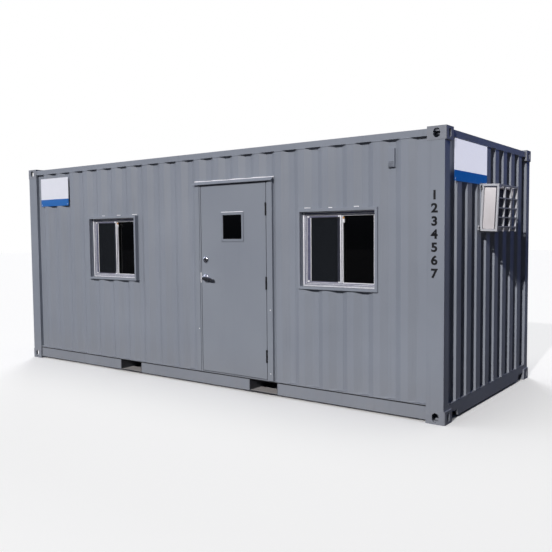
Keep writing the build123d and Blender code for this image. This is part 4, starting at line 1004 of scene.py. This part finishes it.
# %% Cage plates, bolts and welds
cage_wide, cage_tall, cage_deep, bar = 0.580, 0.447, 0.166, 0.020
rungs = [share * cage_tall for share in (0.09, 0.29, 0.49, 0.70)] + [cage_tall - bar]
fillet_x = cage_deep - 0.003
fillets = []
for i in range(4):
    y = -cage_wide / 2 + i * (cage_wide - bar) / 3 + bar / 2
    for z in rungs:
        for side in (-1, 1):
            path = [(fillet_x, y + side * 0.0105, z + end) for end in (0.0005, 0.0095)]
            fillets.append(bead("fillet", path, 0.0028))
hand_over(lean(join("fillets", fillets), "cage_fillets"), cage_enamel, smooth=bead_smooth)
plates = []
bolts = []
for y in (-cage_wide / 2 - 0.024, cage_wide / 2 + 0.024):
    for z in (0.006, cage_tall - 0.052):
        plates.append(rounded(block("plate", (-0.0005, y - 0.030, z), (0.0055, y + 0.030, z + 0.046)), 0.001))
        bolt_y = y + math.copysign(0.012, y)
        bolt = round_bar("bolt", (0.009, bolt_y, z + 0.023), 0.0085, 0.007, axis="X", sides=6)
        bolts.append(rounded(bolt, 0.0008))
        washer = round_bar("washer", (0.0062, bolt_y, z + 0.023), 0.0120, 0.002, axis="X", sides=24)
        bolts.append(rounded(washer, 0.0005))
hand_over(lean(join("plates", plates), "cage_plates"), cage_enamel)
hand_over(lean(join("bolts", bolts), "cage_bolts"), hinge_steel)
print("cage trim:", len(fillets), "fillets and", len(plates), "plates")

# %% [markdown]
# The vent is a small hood over a hole in the wall. Three folded slats in it keep driven rain out, four small
# louvres show in its face over a mesh whose darker grey is painted shade for the opening, and a flange seats it on
# the wall.

# %% Vent slats and flange
vent_low, vent_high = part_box("wall_vent")
slats = []
for number in range(3):
    z = vent_low[2] + 0.010 + number * 0.016
    slat = block("slat", (vent_low[0] + 0.004, vent_low[1] + 0.004, z),
                 (vent_high[0] - 0.004, vent_high[1] - 0.002, z + 0.002))
    press(slat, facing(1, 1), shift=(0, 0, 0.010))
    slats.append(rounded(slat, 0.0005))
for number in range(4):
    z = vent_low[2] + 0.008 + number * 0.010
    slat = block("louvre", (vent_low[0] + 0.006, vent_low[1] - 0.004, z),
                 (vent_high[0] - 0.006, vent_low[1] + 0.001, z + 0.004))
    press(slat, facing(1, -1), shift=(0, 0, -0.003))
    slats.append(rounded(slat, 0.0006))
hand_over(join("vent_slats", slats), fitting_enamel)
# The mesh's darker grey is painted shade for the shaded opening under the hood.
mesh = block("vent_shade_screen", (vent_low[0] + 0.008, vent_low[1] - 0.0010, vent_low[2] + 0.006),
             (vent_high[0] - 0.008, vent_low[1] + 0.0005, vent_low[2] + 0.048))
press(mesh, facing(1, -1), inset=0.003, shift=(0, 0.0005, 0))
hand_over(mesh, vent_shade_grille)
flange = bar_frame("vent_flange", vent_low[0] - 0.012, vent_high[0] + 0.012, vent_low[2] - 0.004,
                   vent_high[2] + 0.012, 0.012, vent_high[1] - 0.0025, vent_high[1] + 0.0015)
hand_over(rounded(flange, 0.0008), fitting_enamel)
print("vent trim done")

# %% [markdown]
# A blank sign hangs high on the front wall and another on the end wall. Each is a thin sheet with rounded corners,
# screwed on with four dome-head screws. The blue band is the same sheet, printed: the face is cut along the
# band's top edge, and the lower part gets the blue finish.

# %% Signs
def sign(name, low, high, band, finishes, out):
    """A thin printed sheet with a band along its foot; out is the axis it faces along, 0 for x and 1 for y."""
    piece = block(name, low, high)
    bpy.ops.object.mode_set(mode="EDIT")
    bpy.ops.mesh.select_mode(type="EDGE")
    bpy.ops.mesh.select_all(action="DESELECT")
    bpy.ops.object.mode_set(mode="OBJECT")
    for edge in piece.data.edges:
        a, b = (piece.data.vertices[i].co for i in edge.vertices)
        edge.select = abs(a[out] - b[out]) > 1e-4
    bpy.ops.object.mode_set(mode="EDIT")
    bpy.ops.mesh.bevel(offset=0.014, segments=5)
    bpy.ops.mesh.select_all(action="SELECT")
    bpy.ops.mesh.bisect(plane_co=(0, 0, low[2] + band), plane_no=(0, 0, 1))
    close_edit()
    for finish in finishes:
        piece.data.materials.append(finish)
    for face in piece.data.polygons:
        face.material_index = int(face.center.z < low[2] + band)
    hand_over(piece, None, smooth=30)
    screws = []
    screw_inset = 0.020
    for across in (0, 1):
        for up in (0, 1):
            z = high[2] - screw_inset if up else low[2] + screw_inset
            side = 1 - out
            spot = [0, 0, z]
            spot[side] = high[side] - screw_inset if across else low[side] + screw_inset
            spot[out] = high[0] + 0.001 if out == 0 else low[1] - 0.001
            screws.append(rounded(round_bar("screw", spot, 0.005, 0.003, axis="XY"[out], sides=16), 0.001))
    hand_over(join(f"{name}_screws", screws), highlight_aluminium)


sign("front_sign", (-2.750, -crest_y - 0.0030, 2.083), (-2.157, -crest_y - 0.0004, 2.452), 0.089,
     (sign_white, sign_blue), 1)
sign("end_sign", (crest_x + 0.0004, -0.998, 2.135), (crest_x + 0.0026, -0.180, 2.505), 0.095,
     (glowing_sign_white, glowing_sign_blue), 0)
print("signs done")

# %% [markdown]
# The running number stands upright on the front right post, one digit above the next. Plain counting digits are
# used. Each is a text object, thickened into a bold stroke, made a mesh, widened, and laid on the post.

# %% Running number
digits = []
for row, digit in enumerate("1234567"):
    bpy.ops.object.select_all(action="DESELECT")
    bpy.ops.object.text_add(location=(2.923, -post_y - 0.0004, 1.968 - 0.113 * row), rotation=(math.pi / 2, 0, 0))
    mark = bpy.context.object
    mark.data.body = digit
    mark.data.size = 0.108
    mark.data.align_x = "CENTER"
    mark.data.offset = 0.0040
    mark.data.extrude = 0.0003
    mark.scale = (1.12, 1.0, 1.0)
    bpy.ops.object.convert(target="MESH")
    digits.append(settle("digit"))
number = hand_over(join("running_number", digits), black_vinyl)
tall = [corner.co.z for corner in number.data.vertices]
print("number reaches from", round(min(tall), 3), "to", round(max(tall), 3))

# %% [markdown]
# The cabin stands on a pale plain floor. A large smooth plane is enough, because nothing but the shadow shows
# on it. For the camera it is near white; the light that it throws back is dim and its mirror image is dark,
# so the walls keep their shade and the glass stays deep. Under the container it darkens, as ground does where
# little sky reaches it.

# %% The floor
bpy.ops.object.select_all(action="DESELECT")
bpy.ops.mesh.primitive_plane_add(size=120.0, location=(0, 0, -0.001))
floor = bpy.context.object
floor.name = "studio_floor"
finish, add, shader, _ = new_finish("studio_floor",
                                    {"Base Color": "#3C3C3C", "Roughness": 0.9, "Specular IOR Level": 0.1})
rays = add("LightPath")
seen = add("Math", {0: rays.outputs["Is Camera Ray"], 1: rays.outputs["Is Transmission Ray"]}, operation="MAXIMUM")
ground = add("Mix", {0: rays.outputs["Is Glossy Ray"], 6: "#757371", 7: "#2C2B2B"}, data_type="RGBA")
ground = add("Mix", {0: seen, 6: ground, 7: "#FFFFFF"}, data_type="RGBA")
add(shader, {"Base Color": ground})
white = add("Emission", {"Color": "#FFFFFF", "Strength": 1.0})
open_sky = add("AmbientOcclusion", {"Distance": 1.5}, samples=8).outputs["AO"]
lifted = add("MapRange", {"Value": open_sky, "From Min": 0.30, "From Max": 0.95, "To Max": 0.74})
pale = add("Math", {0: seen, 1: lifted}, operation="MULTIPLY")
both = add("MixShader", {0: pale, 1: shader, 2: white})
add(finish.node_tree.nodes["Material Output"], {"Surface": both})
floor.data.materials.append(finish)
print("floor:", tuple(round(v, 1) for v in floor.dimensions))

# %% [markdown]
# A key lamp like a low sun stands in front of the long side and a little to the right, so the front is fully
# lit and the end is lit only at a grazing angle, along its ribs. A weak wide lamp from the left softens the
# ribs of the front, and a wide soft one lights the back and the other end. A dim blue sky fills the shadows.
# In reflections the sky is brighter and bluer above than at the horizon, which is what makes glass dark and
# chrome lively. For the camera the backdrop is plain white.

# %% Lights
world = bpy.data.worlds.new("studio")
bpy.context.scene.world = world
world.use_nodes = True
world.node_tree.nodes.clear()
add = adder(world.node_tree)
rays = add("LightPath")
seen = add("Math", {0: rays.outputs["Is Camera Ray"], 1: rays.outputs["Is Transmission Ray"]}, operation="MAXIMUM")
fill = add("Background", {"Color": "#7FA0DC", "Strength": 0.062})
toward = add("SeparateXYZ", {"Vector": add("TexCoord").outputs["Generated"]})
height = add("MapRange", {"Value": toward.outputs["Z"], "From Min": 0.0, "From Max": 0.7})
depth = add("MapRange", {"Value": toward.outputs["Y"], "From Min": -0.2, "From Max": 0.6})
tint = add("Mix", {0: height, 6: "#33363C", 7: "#C3C6D6"}, data_type="RGBA")
rise = add("MapRange", {"Value": toward.outputs["Z"], "From Min": -0.05, "From Max": 0.30})
far = add("Mix", {0: rise, 6: "#0C0D14", 7: "#3A74FF"}, data_type="RGBA")
tint = add("Mix", {0: depth, 6: tint, 7: far}, data_type="RGBA")
mirrored = add("Background", {"Color": tint, "Strength": 0.9})
around = add("MixShader", {0: rays.outputs["Is Glossy Ray"], 1: fill, 2: mirrored})
backdrop = add("Background", {"Color": "#FFFFFF", "Strength": 1.0})
both = add("MixShader", {0: seen, 1: around, 2: backdrop})
add("OutputWorld", {"Surface": both})


def sun(name, toward, strength, width, colour):
    """A distant lamp that shines from this direction."""
    bpy.ops.object.light_add(type="SUN", rotation=Vector(toward).to_track_quat("Z", "Y").to_euler())
    lamp = bpy.context.object
    lamp.name = name
    lamp.data.energy = strength
    lamp.data.angle = math.radians(width)
    lamp.data.color = linear(colour)[:3]


sun("key_light", (0.145, -1.0, 0.52), 2.98, 1.2, "#FFFCFA")
sun("side_light", (-1.0, -0.35, 0.40), 0.5, 40.0, "#E8EEFF")
sun("back_light", (-0.75, 0.85, 0.45), 3.0, 25.0, "#F6F6FA")

# %% [markdown]
# The camera stands at eye height off the near right corner, so that the long side and the end both show.

# %% Camera
bpy.ops.object.camera_add(location=(5.3009, -6.7073, 1.6704), rotation=(1.510077, 0.00908, 0.639048))
camera = bpy.context.object
camera.data.lens = 43.94
camera.data.sensor_width = 36.0
bpy.context.scene.camera = camera
bpy.context.scene.view_settings.view_transform = "Standard"
print("camera at", tuple(round(v, 2) for v in camera.location))
